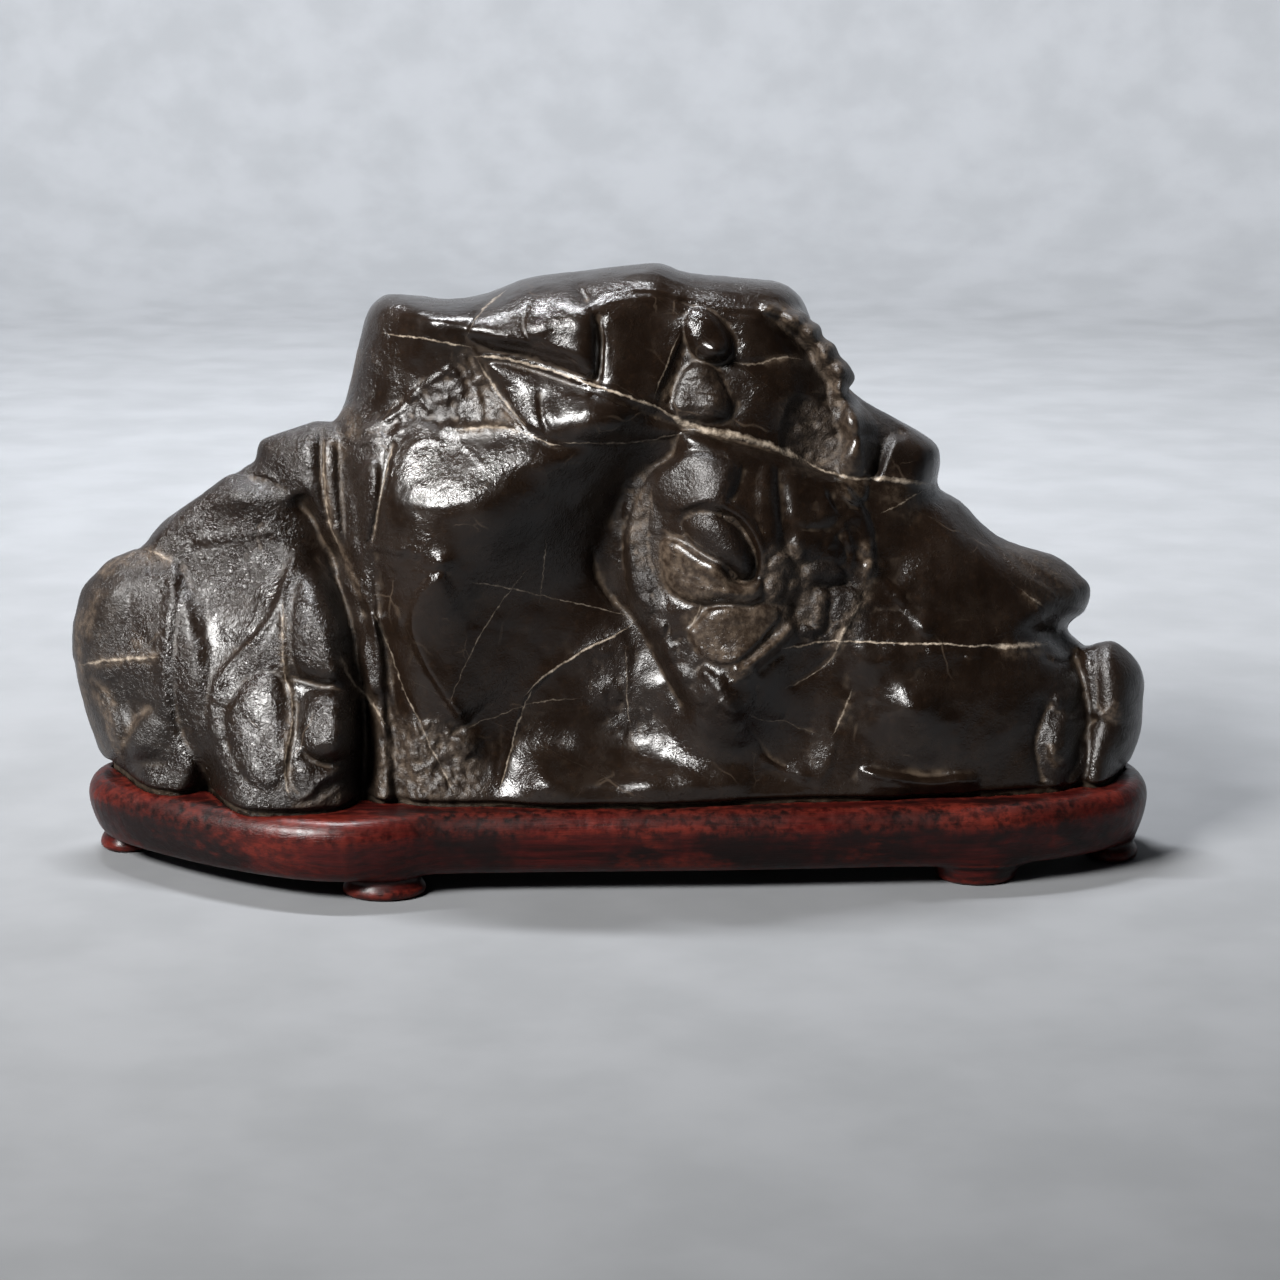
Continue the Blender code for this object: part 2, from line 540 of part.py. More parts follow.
def build_stand(plan):
    loop = even_loop(STAND_PLAN, STATIONS)
    normal = outward(loop)
    rings = []
    for inset, z in WALL:
        p = loop - normal * inset
        rings.append(np.column_stack([p, np.full(len(p), z)]))
    seat = seat_loop(plan, loop)
    # the rim never runs in past the seat's edge
    top = rings[-1][:, :2]
    lean = ((top - seat) * normal).sum(1)
    short = lean < 0.8
    for r in range(5, len(WALL)):
        room = ((loop - seat) * normal).sum(1) - 0.8
        inset = np.minimum(WALL[r][0], room * WALL[r][0] / WALL[-1][0])
        p = np.where(short[:, None], loop - normal * inset[:, None], rings[r][:, :2])
        rings[r][:, :2] = p
    rings.append(np.column_stack([seat, np.full(len(seat), STAND_TOP - 0.25)]))
    rings.append(np.column_stack([seat, np.full(len(seat), SEAT_FLOOR)]))
    n = STATIONS
    verts = np.vstack(rings)
    faces = []
    for r in range(len(rings) - 1):
        for k in range(n):
            a, b = r * n + k, r * n + (k + 1) % n
            faces.append((a, b, b + n, a + n))
    faces.append(tuple(range(n - 1, -1, -1)))
    last = (len(rings) - 1) * n
    faces.append(tuple(range(last, last + n)))
    stand = mesh_object("stand", verts, faces, (0.14, 0.028, 0.014), 0.32)
    for index, (x, y, along, across, turn) in enumerate(FEET):
        a = np.arange(20) / 20 * 2 * math.pi
        c, s = math.cos(math.radians(turn)), math.sin(math.radians(turn))
        ring_points = []
        for size, z in FOOT:
            ex, ey = along * size * np.cos(a), across * size * np.sin(a)
            ring_points.append(np.column_stack([x + ex * c - ey * s, y + ex * s + ey * c,
                                                np.full(len(a), z)]))
        m = len(a)
        fv = np.vstack(ring_points)
        ff = [(r * m + k, r * m + (k + 1) % m, (r + 1) * m + (k + 1) % m, (r + 1) * m + k)
              for r in range(len(FOOT) - 1) for k in range(m)]
        ff.append(tuple(range(m - 1, -1, -1)))
        ff.append(tuple(range((len(FOOT) - 1) * m, len(FOOT) * m)))
        foot = mesh_object("foot_cutter_%d" % index, fv, ff, (0.14, 0.028, 0.014), 0.32)
        foot.hide_render = True
        foot.display_type = "WIRE"
        join = stand.modifiers.new("foot %d" % index, "BOOLEAN")
        join.operation = "UNION"
        join.solver = "EXACT"
        join.object = foot
    return stand


def build_rock(made, plan):
    points, quads = rock_solid(made, plan, ROCK_CELL)
    points = relax(points, quads, lambda x, y, z: rock_field(made, plan, x, y, z, GROW), 3)
    points[:, 2] = np.maximum(points[:, 2], ROCK_FOOT)
    rock = mesh_object("stone", points, quads, (0.035, 0.031, 0.027), 0.28)
    simplify = rock.modifiers.new("simplify", "DECIMATE")
    simplify.ratio = ROCK_FACES / (2 * len(quads))
    simplify.use_collapse_triangulate = True
    return rock


def main():
    for obj in list(bpy.data.objects):
        bpy.data.objects.remove(obj, do_unlink=True)
    made = prepare_forms()
    plan = Plan(made)
    build_rock(made, plan)
    build_stand(plan)


if __name__ == "__main__":
    main()
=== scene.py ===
"""Looks of the scholar's rock and its carved stand.

The rock's fine surface is one mesh, sculpted in code: the blended forms of the
CAD rock, with the folds, ridges, creases, nodules and plates of its display
side laid out on a perspective front elevation (3.4 drawing units to the
millimetre), and those of its back on a plain rear elevation. The stand's fine
mesh has the CAD stand's plan, wall and feet, with carved fillets.
"""

import math

import bpy
import numpy as np
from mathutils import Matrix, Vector


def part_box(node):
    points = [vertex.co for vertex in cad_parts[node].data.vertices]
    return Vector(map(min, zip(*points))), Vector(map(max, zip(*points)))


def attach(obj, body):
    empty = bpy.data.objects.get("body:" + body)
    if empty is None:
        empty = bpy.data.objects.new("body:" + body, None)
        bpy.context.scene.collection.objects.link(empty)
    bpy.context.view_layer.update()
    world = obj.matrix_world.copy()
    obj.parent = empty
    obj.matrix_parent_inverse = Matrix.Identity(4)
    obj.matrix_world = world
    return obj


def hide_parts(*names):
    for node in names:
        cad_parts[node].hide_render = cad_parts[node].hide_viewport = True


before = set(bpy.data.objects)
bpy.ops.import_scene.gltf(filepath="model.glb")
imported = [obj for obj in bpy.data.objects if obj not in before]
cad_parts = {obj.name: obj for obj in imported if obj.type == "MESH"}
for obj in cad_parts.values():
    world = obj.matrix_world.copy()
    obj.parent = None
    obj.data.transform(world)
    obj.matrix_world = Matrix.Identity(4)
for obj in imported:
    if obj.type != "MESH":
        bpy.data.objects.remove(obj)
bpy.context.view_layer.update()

# ---------------------------------------------------------------- dimensions
MM = 0.001
STAND_TOP = 25.0
STAND_UNDER = 6.0
SEAT_FLOOR = 16.6
ROCK_FOOT = 17.0
ROCK_LIP = 25.9
SEAT_GAP = 0.55
BASE_INSET = 1.6
BLEND = 2.0
SHIFT = (2.17, 4.03)

# drawing station point
TILT = math.radians(13.0)
SCALE = 3011.0
STATION = 885.6
CENTRE = 640.0
AIM_X, AIM_Z = 6.8, 64.0
EYE = (AIM_X, -STATION * math.cos(TILT), AIM_Z + STATION * math.sin(TILT))
UNIT = 1 / 3.4

# drawing window
U0, U1, V0, V1, STEP = 30.0, 1190.0, 220.0, 940.0, 2.0


def to_drawing(x, y, z):
    """Where a point lands on the drawing."""
    c, s = math.cos(TILT), math.sin(TILT)
    rx, ry, rz = x - EYE[0], y - EYE[1], z - EYE[2]
    depth = ry * c - rz * s
    return CENTRE + SCALE * rx / depth, CENTRE - SCALE * (ry * s + rz * c) / depth


# ------------------------------------------------------------- small helpers
def smooth_line(points, closed=False, parts=4):
    """Catmull-Rom line through the points."""
    p = np.asarray(points, float)
    n = len(p)
    out = []
    for i in range(n if closed else n - 1):
        if closed:
            a, b, c, d = p[(i - 1) % n], p[i], p[(i + 1) % n], p[(i + 2) % n]
        else:
            a, b, c, d = p[max(i - 1, 0)], p[i], p[i + 1], p[min(i + 2, n - 1)]
        for t in np.arange(parts) / parts:
            out.append(0.5 * (2 * b + (c - a) * t + (2 * a - 5 * b + 4 * c - d) * t * t
                              + (3 * b - a - 3 * c + d) * t ** 3))
    if not closed:
        out.append(p[-1])
    return np.array(out)


def outline_distance(points, U, V):
    """Signed distance to a closed outline, positive inside."""
    p = smooth_line(points, closed=True, parts=3)
    q = np.roll(p, -1, axis=0)
    best = np.full(U.shape, 1e18)
    inside = np.zeros(U.shape, bool)
    for (ax, ay), (bx, by) in zip(p, q):
        dx, dy = bx - ax, by - ay
        t = np.clip(((U - ax) * dx + (V - ay) * dy) / (dx * dx + dy * dy + 1e-12), 0, 1)
        best = np.minimum(best, (U - ax - t * dx) ** 2 + (V - ay - t * dy) ** 2)
        if ay != by:
            cross = (ay > V) != (by > V)
            inside ^= cross & (U < ax + (V - ay) * dx / (by - ay))
    d = np.sqrt(best)
    return np.where(inside, d, -d)


def blur(a, sigma):
    """Gaussian blur of a raster, sigma in cells."""
    pad = int(4 * sigma) + 2
    b = np.pad(a, pad, mode="edge")
    fy = np.fft.fftfreq(b.shape[0])[:, None]
    fx = np.fft.rfftfreq(b.shape[1])[None, :]
    k = np.exp(-2 * (math.pi * sigma) ** 2 * (fx * fx + fy * fy))
    out = np.fft.irfft2(np.fft.rfft2(b) * k, s=b.shape)
    return out[pad:-pad, pad:-pad]


def through(points, U, V):
    """Thin-plate surface through (u, v, value) points."""
    p = np.asarray(points, float)
    s = 100.0
    x, y, f = p[:, 0] / s, p[:, 1] / s, p[:, 2]
    n = len(p)

    def kern(r2):
        return 0.5 * r2 * np.log(r2 + 1e-12)

    K = kern((x[:, None] - x) ** 2 + (y[:, None] - y) ** 2) + np.eye(n) * 0.01
    P = np.stack([np.ones(n), x, y], 1)
    A = np.block([[K, P], [P.T, np.zeros((3, 3))]])
    w = np.linalg.solve(A, np.concatenate([f, np.zeros(3)]))
    out = w[n] + w[n + 1] * U / s + w[n + 2] * V / s
    for i in range(n):
        out = out + w[i] * kern((U / s - x[i]) ** 2 + (V / s - y[i]) ** 2)
    return out


def look_up(raster, a, b, a0, b0, step):
    """Bilinear reading of a raster[b, a] whose corner is (a0, b0)."""
    fa = np.clip((a - a0) / step, 0, raster.shape[1] - 1.001)
    fb = np.clip((b - b0) / step, 0, raster.shape[0] - 1.001)
    ia, ib = fa.astype(np.int32), fb.astype(np.int32)
    ta, tb = fa - ia, fb - ib
    r = raster
    return ((r[ib, ia] * (1 - ta) + r[ib, ia + 1] * ta) * (1 - tb)
            + (r[ib + 1, ia] * (1 - ta) + r[ib + 1, ia + 1] * ta) * tb)


def soft_max(a, b, k):
    h = np.clip(0.5 + 0.5 * (a - b) / k, 0, 1)
    return b + (a - b) * h + k * h * (1 - h)


MASSIF_FRONT = [
    (380, 330, -14), (430, 330, -25), (480, 330, -26), (540, 320, -28), (600, 320, -31),
    (650, 320, -25), (700, 320, -24), (760, 320, -21), (810, 345, -16),
    (350, 400, -11), (390, 390, -19), (440, 390, -26), (500, 385, -27), (560, 395, -32),
    (600, 420, -38), (640, 410, -34), (690, 385, -27), (740, 390, -27), (790, 400, -24),
    (850, 400, -18), (900, 430, -12),
    (350, 450, -20), (400, 448, -29), (450, 450, -34), (485, 452, -37.5), (530, 455, -40),
    (600, 455, -34), (650, 455, -27), (700, 455, -31), (760, 450, -28), (810, 450, -21),
    (860, 450, -19), (920, 460, -12),
    (350, 515, -24), (395, 505, -37), (430, 508, -41.5), (480, 510, -45), (540, 515, -38),
    (600, 520, -27), (632, 530, -24), (700, 530, -35), (750, 530, -36), (810, 530, -30),
    (870, 530, -24), (930, 530, -18),
    (420, 560, -42), (465, 560, -42), (525, 560, -35),
    (360, 600, -24), (400, 600, -36), (430, 600, -42), (480, 600, -37), (540, 600, -30),
    (600, 600, -26), (650, 600, -30), (700, 600, -36), (760, 600, -37), (820, 600, -31),
    (880, 600, -26), (940, 600, -22),
    (370, 690, -28), (410, 680, -36), (450, 690, -39), (500, 690, -33), (560, 690, -29),
    (620, 690, -28), (670, 690, -32), (720, 690, -39), (780, 670, -36), (850, 690, -31),
    (920, 690, -32),
    (380, 760, -36), (440, 750, -38), (500, 745, -33), (560, 745, -32), (640, 745, -31),
    (720, 740, -37), (780, 750, -34), (850, 750, -33), (920, 750, -33),
    (400, 800, -40), (470, 788, -40), (560, 787, -42), (650, 787, -42), (740, 787, -39),
    (810, 785, -36), (900, 785, -34), (640, 880, -41), (400, 880, -41), (900, 880, -33),
]

FORMS = {
    "massif": dict(
        outline=[(345, 402), (354, 365), (361, 336), (368, 311), (381, 297), (400, 294),
                 (450, 299), (488, 293), (519, 281), (545, 275), (590, 270), (636, 265),
                 (661, 264), (690, 274), (742, 278), (780, 282), (801, 297), (812, 323),
                 (826, 351), (840, 379), (862, 399), (901, 421), (932, 440), (940, 455),
                 (937, 482), (932, 520), (934, 570), (940, 640), (950, 700), (950, 790),
                 (930, 900), (640, 915), (380, 915), (366, 830), (366, 770), (356, 700),
                 (348, 640), (338, 580), (330, 520), (327, 460), (334, 425)],
        mid=6, front=MASSIF_FRONT,
        back=[(380, 330, 22), (520, 310, 30), (700, 300, 28), (800, 330, 22), (360, 450, 27),
              (500, 440, 38), (640, 420, 34), (760, 430, 39), (900, 470, 24), (380, 600, 33),
              (500, 560, 37), (620, 600, 43), (760, 580, 38), (900, 600, 30), (420, 720, 38),
              (560, 740, 41), (700, 720, 44), (860, 740, 38), (400, 850, 38), (640, 860, 40),
              (900, 860, 36)],
        wf=[(380, 320, 8), (430, 340, 8), (480, 320, 12), (345, 400, 8), (540, 300, 20),
            (600, 300, 17), (660, 300, 14), (760, 300, 14), (820, 340, 12), (860, 400, 11),
            (930, 450, 8), (930, 560, 16), (350, 560, 18), (350, 700, 18), (640, 860, 20),
            (500, 500, 21), (700, 600, 21)],
        wb=24, p=2.3),
    "core": dict(
        outline=[(98, 640), (110, 590), (160, 560), (215, 500), (262, 470), (300, 440),
                 (345, 440), (375, 330), (400, 312), (600, 290), (760, 300), (850, 400),
                 (920, 460), (950, 515), (1040, 580), (1066, 600), (1067, 628),
                 (1088, 650), (1122, 672), (1124, 740), (1100, 800), (1080, 900),
                 (640, 920), (200, 900), (130, 800), (108, 730)],
        mid=6, front=[(110, 650, -6), (200, 600, -12), (400, 500, -14), (800, 500, -14),
                      (1000, 620, -10), (1110, 720, -6)],
        back=[(110, 650, 12), (130, 780, 12), (170, 600, 20), (200, 760, 24), (300, 500, 28),
              (300, 780, 33), (500, 700, 36), (800, 700, 36), (900, 550, 30), (1000, 760, 31),
              (1050, 640, 20), (1110, 700, 11), (1110, 780, 12)],
        wf=22, wb=24, p=2.2),
    "left_boulder": dict(
        outline=[(73, 634), (76, 615), (82, 590), (93, 576), (107, 561), (121, 554),
                 (144, 548), (186, 556), (208, 590), (220, 640), (224, 700), (218, 770),
                 (180, 830), (135, 830), (121, 773), (100, 750), (88, 716), (80, 690),
                 (76, 668)],
        mid=4, front=[(90, 610, -8), (112, 590, -10), (138, 565, -9), (168, 568, -12),
                      (112, 640, -14), (138, 650, -19), (168, 650, -23), (100, 680, -13),
                      (136, 690, -18), (165, 700, -24), (100, 720, -12), (136, 735, -22),
                      (165, 740, -25), (150, 770, -26)],
        back=[(85, 640, 12), (130, 600, 18), (180, 600, 23), (110, 740, 13), (180, 760, 21)],
        wf=9, wb=13, p=1.9),
    "left_wedge": dict(
        outline=[(143, 550), (148, 540), (157, 528), (174, 513), (205, 505), (215, 560),
                 (180, 590), (150, 575)],
        mid=6, front=-8, back=22, wf=7, wb=10, p=2.0),
    "left_lobe": dict(
        outline=[(170, 545), (172, 525), (178, 512), (190, 502), (212, 486), (231, 474),
                 (252, 476), (276, 484), (298, 502), (316, 528), (334, 562), (350, 600),
                 (362, 645), (369, 700), (372, 760), (368, 850), (300, 880), (225, 850),
                 (200, 783), (186, 763), (175, 742), (166, 716), (161, 690), (160, 655),
                 (163, 615), (168, 575)],
        mid=-2, front=[(190, 500, -10), (231, 484, -12), (285, 500, -15), (195, 540, -10),
                       (240, 540, -13.5), (290, 540, -16), (322, 560, -17), (188, 600, -16),
                       (240, 600, -21), (285, 600, -27), (330, 600, -27), (178, 660, -23),
                       (215, 660, -27), (262, 660, -33), (300, 660, -35), (340, 660, -37),
                       (190, 710, -30), (225, 710, -34), (270, 710, -38), (300, 710, -39),
                       (345, 710, -43), (205, 750, -35), (240, 755, -41), (285, 760, -46),
                       (320, 760, -46), (355, 770, -42), (230, 800, -47), (300, 810, -50),
                       (350, 806, -46)],
        back=24, wf=12, wb=14, p=2.0),
    "nodule_chain": dict(
        outline=[(782, 309), (790, 308), (806, 313), (811, 320), (820, 326), (824, 337),
                 (835, 344), (841, 356), (850, 365), (855, 379), (848, 391), (857, 404),
                 (869, 414), (874, 427), (873, 444), (867, 467), (856, 478), (842, 470),
                 (835, 456), (841, 441), (837, 423), (839, 408), (832, 396), (829, 383),
                 (819, 373), (811, 364), (812, 352), (803, 343), (794, 334), (782, 326),
                 (776, 316)],
        mid=-9, front=[(785, 318, -21), (812, 340, -19.5), (838, 370, -19), (836, 394, -21),
                       (856, 420, -22), (858, 445, -22.5), (852, 470, -23)],
        back=-2, wf=6, wb=8, p=2.0),
    "upper_left_block": dict(
        outline=[(240, 476), (244, 467), (255, 460), (259, 443), (270, 436), (303, 425),
                 (320, 421), (345, 428), (352, 470), (352, 560), (322, 545), (296, 506),
                 (262, 492)],
        mid=0, front=[(260, 460, -8), (300, 440, -14), (335, 440, -17), (335, 520, -24),
                      (300, 480, -17)],
        back=24, wf=8, wb=12, p=2.1),
    "pillar": dict(
        outline=[(330, 440), (342, 412), (362, 400), (392, 430), (396, 480), (388, 560),
                 (392, 640), (400, 730), (404, 830), (372, 880), (352, 830), (358, 740),
                 (348, 640), (334, 560), (328, 500)],
        mid=-4, front=[(350, 440, -17), (380, 480, -27), (360, 560, -27), (370, 650, -32),
                       (380, 720, -35), (380, 800, -40)],
        back=10, wf=7, wb=10, p=2.0),
    "tail": dict(
        outline=[(838, 470), (870, 440), (920, 470), (938, 488), (960, 501), (982, 524),
                 (1008, 541), (1051, 554), (1080, 575), (1090, 589), (1084, 611),
                 (1068, 622), (1050, 640), (1000, 670), (900, 690), (840, 680), (826, 560)],
        mid=8, front=[(870, 500, -17), (940, 510, -14), (870, 560, -24), (930, 560, -23),
                      (990, 560, -16), (1050, 580, -9), (880, 620, -29), (940, 620, -28),
                      (1010, 620, -21), (1060, 610, -11)],
        back=[(860, 520, 27), (960, 540, 25), (1060, 590, 19), (900, 620, 30), (1020, 620, 24)],
        wf=11, wb=13, p=2.1),
    "haunch": dict(
        outline=[(800, 600), (880, 590), (960, 590), (1020, 604), (1052, 636), (1090, 676),
                 (1100, 730), (1096, 790), (1080, 860), (960, 890), (800, 890)],
        mid=2, back=[(840, 700, 34), (960, 690, 33), (1050, 700, 25), (1090, 760, 19),
                     (840, 800, 34), (960, 800, 31)],
        front=[(840, 620, -29), (900, 620, -29), (960, 620, -26), (1020, 630, -21),
                      (840, 700, -31), (900, 690, -34), (960, 690, -32), (1020, 700, -27),
                      (1070, 700, -19), (860, 760, -34), (950, 760, -33), (1020, 760, -29),
                      (1080, 760, -24), (900, 800, -32), (1040, 800, -27)],
        wf=13, wb=16, p=2.1),
    "right_knob": dict(
        outline=[(1076, 655), (1092, 645), (1102, 642), (1112, 641), (1122, 646),
                 (1133, 656), (1141, 668), (1144, 682), (1143, 702), (1140, 732),
                 (1131, 758), (1122, 774), (1116, 830), (1080, 840), (1072, 780),
                 (1080, 715)],
        mid=0, front=[(1110, 670, -13), (1120, 710, -16), (1110, 750, -20), (1090, 780, -24)],
        back=13, wf=9, wb=9, p=2.0),
}


# ------------------------------------------------------------------- noise
def _hash(ix, iy, iz, seed):
    h = (ix * 374761393 + iy * 668265263 + iz * 2147483647 + seed * 1274126177) & 0xFFFFFFFF
    h = ((h ^ (h >> 13)) * 1274126177) & 0xFFFFFFFF
    h = ((h ^ (h >> 16)) * 2246822519) & 0xFFFFFFFF
    return ((h ^ (h >> 15)) & 0xFFFF) / 65535.0


def value_noise(x, y, z, seed=0):
    """Smooth noise from -1 to 1."""
    fx, fy, fz = np.floor(x), np.floor(y), np.floor(z)
    ix, iy, iz = fx.astype(np.int64), fy.astype(np.int64), fz.astype(np.int64)
    tx, ty, tz = x - fx, y - fy, z - fz
    tx, ty, tz = (t * t * t * (t * (t * 6 - 15) + 10) for t in (tx, ty, tz))
    out = 0.0
    for a in (0, 1):
        wx = tx if a else 1 - tx
        for b in (0, 1):
            wy = ty if b else 1 - ty
            for c in (0, 1):
                wz = tz if c else 1 - tz
                out = out + wx * wy * wz * _hash(ix + a, iy + b, iz + c, seed)
    return out * 2 - 1


def fractal(x, y, z, seed=0, octaves=3, gain=0.5):
    out, amp, norm = 0.0, 1.0, 0.0
    for o in range(octaves):
        k = 2.03 ** o
        out = out + amp * value_noise(x * k + 17.3 * o, y * k - 9.1 * o, z * k + 5.7 * o, seed + o)
        norm += amp
        amp *= gain
    return out / norm


# ------------------------------------------------------------------ relief
class Relief:
    """Raised and sunk work on a drawing, in millimetres of height."""

    def __init__(self, u0, u1, v0, v1, step=1.0):
        self.u0, self.v0, self.step = u0, v0, step
        self.U, self.V = np.meshgrid(np.arange(u0, u1 + step, step), np.arange(v0, v1 + step, step))
        self.h = np.zeros(self.U.shape)

    def window(self, p, reach):
        p = np.asarray(p, float)
        lo, hi = p.min(0) - reach, p.max(0) + reach
        a0 = int(max((lo[0] - self.u0) / self.step, 0))
        a1 = int(min((hi[0] - self.u0) / self.step + 2, self.U.shape[1]))
        b0 = int(max((lo[1] - self.v0) / self.step, 0))
        b1 = int(min((hi[1] - self.v0) / self.step + 2, self.U.shape[0]))
        return slice(b0, b1), slice(a0, a1)

    def along(self, points, reach, parts=4):
        """Window, distance, signed distance (left of travel on the page is +) and run 0..1."""
        p = smooth_line(points, parts=parts)
        win = self.window(p, reach)
        U, V = self.U[win], self.V[win]
        best = np.full(U.shape, 1e9)
        side = np.zeros(U.shape)
        run = np.zeros(U.shape)
        seg = np.hypot(*np.diff(p, axis=0).T)
        total = seg.sum()
        gone = 0.0
        for i in range(len(p) - 1):
            ax, ay = p[i]
            dx, dy = p[i + 1] - p[i]
            t = np.clip(((U - ax) * dx + (V - ay) * dy) / (dx * dx + dy * dy + 1e-12), 0, 1)
            ex, ey = U - ax - t * dx, V - ay - t * dy
            d = ex * ex + ey * ey
            near = d < best
            best = np.where(near, d, best)
            side = np.where(near, np.sign(dy * ex - dx * ey + 1e-9), side)
            run = np.where(near, (gone + t * seg[i]) / total, run)
            gone += seg[i]
        best = np.sqrt(best)
        return win, best, best * side, run

    @staticmethod
    def fade(run, ends):
        if not ends:
            return 1.0
        return np.clip(run / ends, 0, 1) ** 0.7 * np.clip((1 - run) / ends, 0, 1) ** 0.7

    def line(self, points, width, height, ends=0.15, sharp=2.0, wobble=0.0):
        """A raised (or, below zero, sunk) line of half width `width`."""
        win, d, s, run = self.along(points, width * 5.5)
        if wobble:
            n = value_noise(self.U[win] / 14, self.V[win] / 14, np.zeros(d.shape), 3)
            d = np.abs(s + wobble * n)
        shape = np.exp(-(d / width) ** sharp)
        if abs(height) >= 0.9:
            shape = 0.62 * shape + 0.38 * np.exp(-(d / (2.6 * width)) ** 2)
        self.h[win] += height * shape * self.fade(run, ends)

    def crease(self, points, width, depth, ends=0.15):
        """A V valley with a wide mouth."""
        win, d, s, run = self.along(points, width * 7)
        shape = 0.58 * np.exp(-d / width) + 0.42 * np.exp(-(d / (3.2 * width)) ** 2)
        self.h[win] -= depth * shape * self.fade(run, ends)

    def ledge(self, points, width, height, ends=0.12, edge=1.2):
        """Raises one side of a line (left of travel on the page), dying away over `width`."""
        reach = width * 3.5
        win, d, s, run = self.along(points, reach)
        up = 1 / (1 + np.exp(-np.clip(s / edge, -30, 30)))
        self.h[win] += height * up * np.exp(-np.maximum(s, 0) / width) * self.fade(run, ends)

    def dome(self, u, v, ru, rv, height, turn=0.0, power=1.0):
        """A mound; power 1 is a soft one, 0.5 round with a crease at its foot."""
        win = self.window([(u, v)], max(ru, rv) * 1.05)
        a = math.radians(turn)
        du, dv = self.U[win] - u, self.V[win] - v
        p = (du * math.cos(a) + dv * math.sin(a)) / ru
        q = (-du * math.sin(a) + dv * math.cos(a)) / rv
        self.h[win] += height * np.maximum(0, 1 - p * p - q * q) ** power

    def swell(self, u, v, ru, rv, height, turn=0.0):
        """A bell with no edge."""
        win = self.window([(u, v)], max(ru, rv) * 2.6)
        a = math.radians(turn)
        du, dv = self.U[win] - u, self.V[win] - v
        p = (du * math.cos(a) + dv * math.sin(a)) / ru
        q = (-du * math.sin(a) + dv * math.cos(a)) / rv
        self.h[win] += height * np.exp(-(p * p + q * q))

    def plate(self, outline, height, edge=3.0, soft=0.0):
        """Raises or sinks the inside of an outline, with an edge `edge` wide."""
        p = smooth_line(outline, closed=True, parts=3)
        win = self.window(p, edge + 4)
        d = outline_distance(outline, self.U[win], self.V[win])
        t = np.clip(d / edge + 0.5, 0, 1)
        self.h[win] += height * t * t * (3 - 2 * t)

    def pillow(self, outline, height, round_in=14.0, power=0.6, dies=None):
        """A lobe: rises steeply from its outline and rounds over.

        dies=(u0, v0, u1, v1) lets it die away from the first point to the second.
        """
        p = smooth_line(outline, closed=True, parts=3)
        win = self.window(p, 3)
        U, V = self.U[win], self.V[win]
        d = outline_distance(outline, U, V)
        t = np.clip(d / round_in, 0, 1)
        shape = (1 - (1 - t) ** 2) ** power
        if dies:
            u0, v0, u1, v1 = dies
            s = ((U - u0) * (u1 - u0) + (V - v0) * (v1 - v0)) / ((u1 - u0) ** 2 + (v1 - v0) ** 2)
            s = np.clip(s, 0, 1)
            shape = shape * (1 - s * s * (3 - 2 * s))
        self.h[win] += height * shape

    def grain(self, outline, size_u, size_v, height, turn=0.0, seed=0, edge=14.0, octaves=3, ridged=False):
        """Rough or fibrous ground inside an outline."""
        p = smooth_line(outline, closed=True, parts=3)
        win = self.window(p, 2)
        U, V = self.U[win], self.V[win]
        d = outline_distance(outline, U, V)
        a = math.radians(turn)
        x = (U * math.cos(a) + V * math.sin(a)) / size_u
        y = (-U * math.sin(a) + V * math.cos(a)) / size_v
        n = fractal(x, y, np.zeros(x.shape), seed, octaves, 0.55)
        if ridged:
            n = 1 - 2 * np.abs(n)
        self.h[win] += height * n * np.clip(d / edge, 0, 1)

    def at(self, u, v):
        return look_up(self.h, u, v, self.u0, self.v0, self.step)


class Tint(Relief):
    """A mask from 0 to 1 on a drawing."""

    def brush(self, points, width, strength=1.0, ends=0.1):
        win, d, s, run = self.along(points, width * 2.2)
        k = strength * np.exp(-(d / width) ** 2) * self.fade(run, ends)
        self.h[win] = np.maximum(self.h[win], k)

    def patch(self, outline, strength=1.0, edge=8.0):
        win = self.window(smooth_line(outline, closed=True, parts=3), edge)
        d = outline_distance(outline, self.U[win], self.V[win])
        self.h[win] = np.maximum(self.h[win], strength * np.clip(d / edge + 0.5, 0, 1))


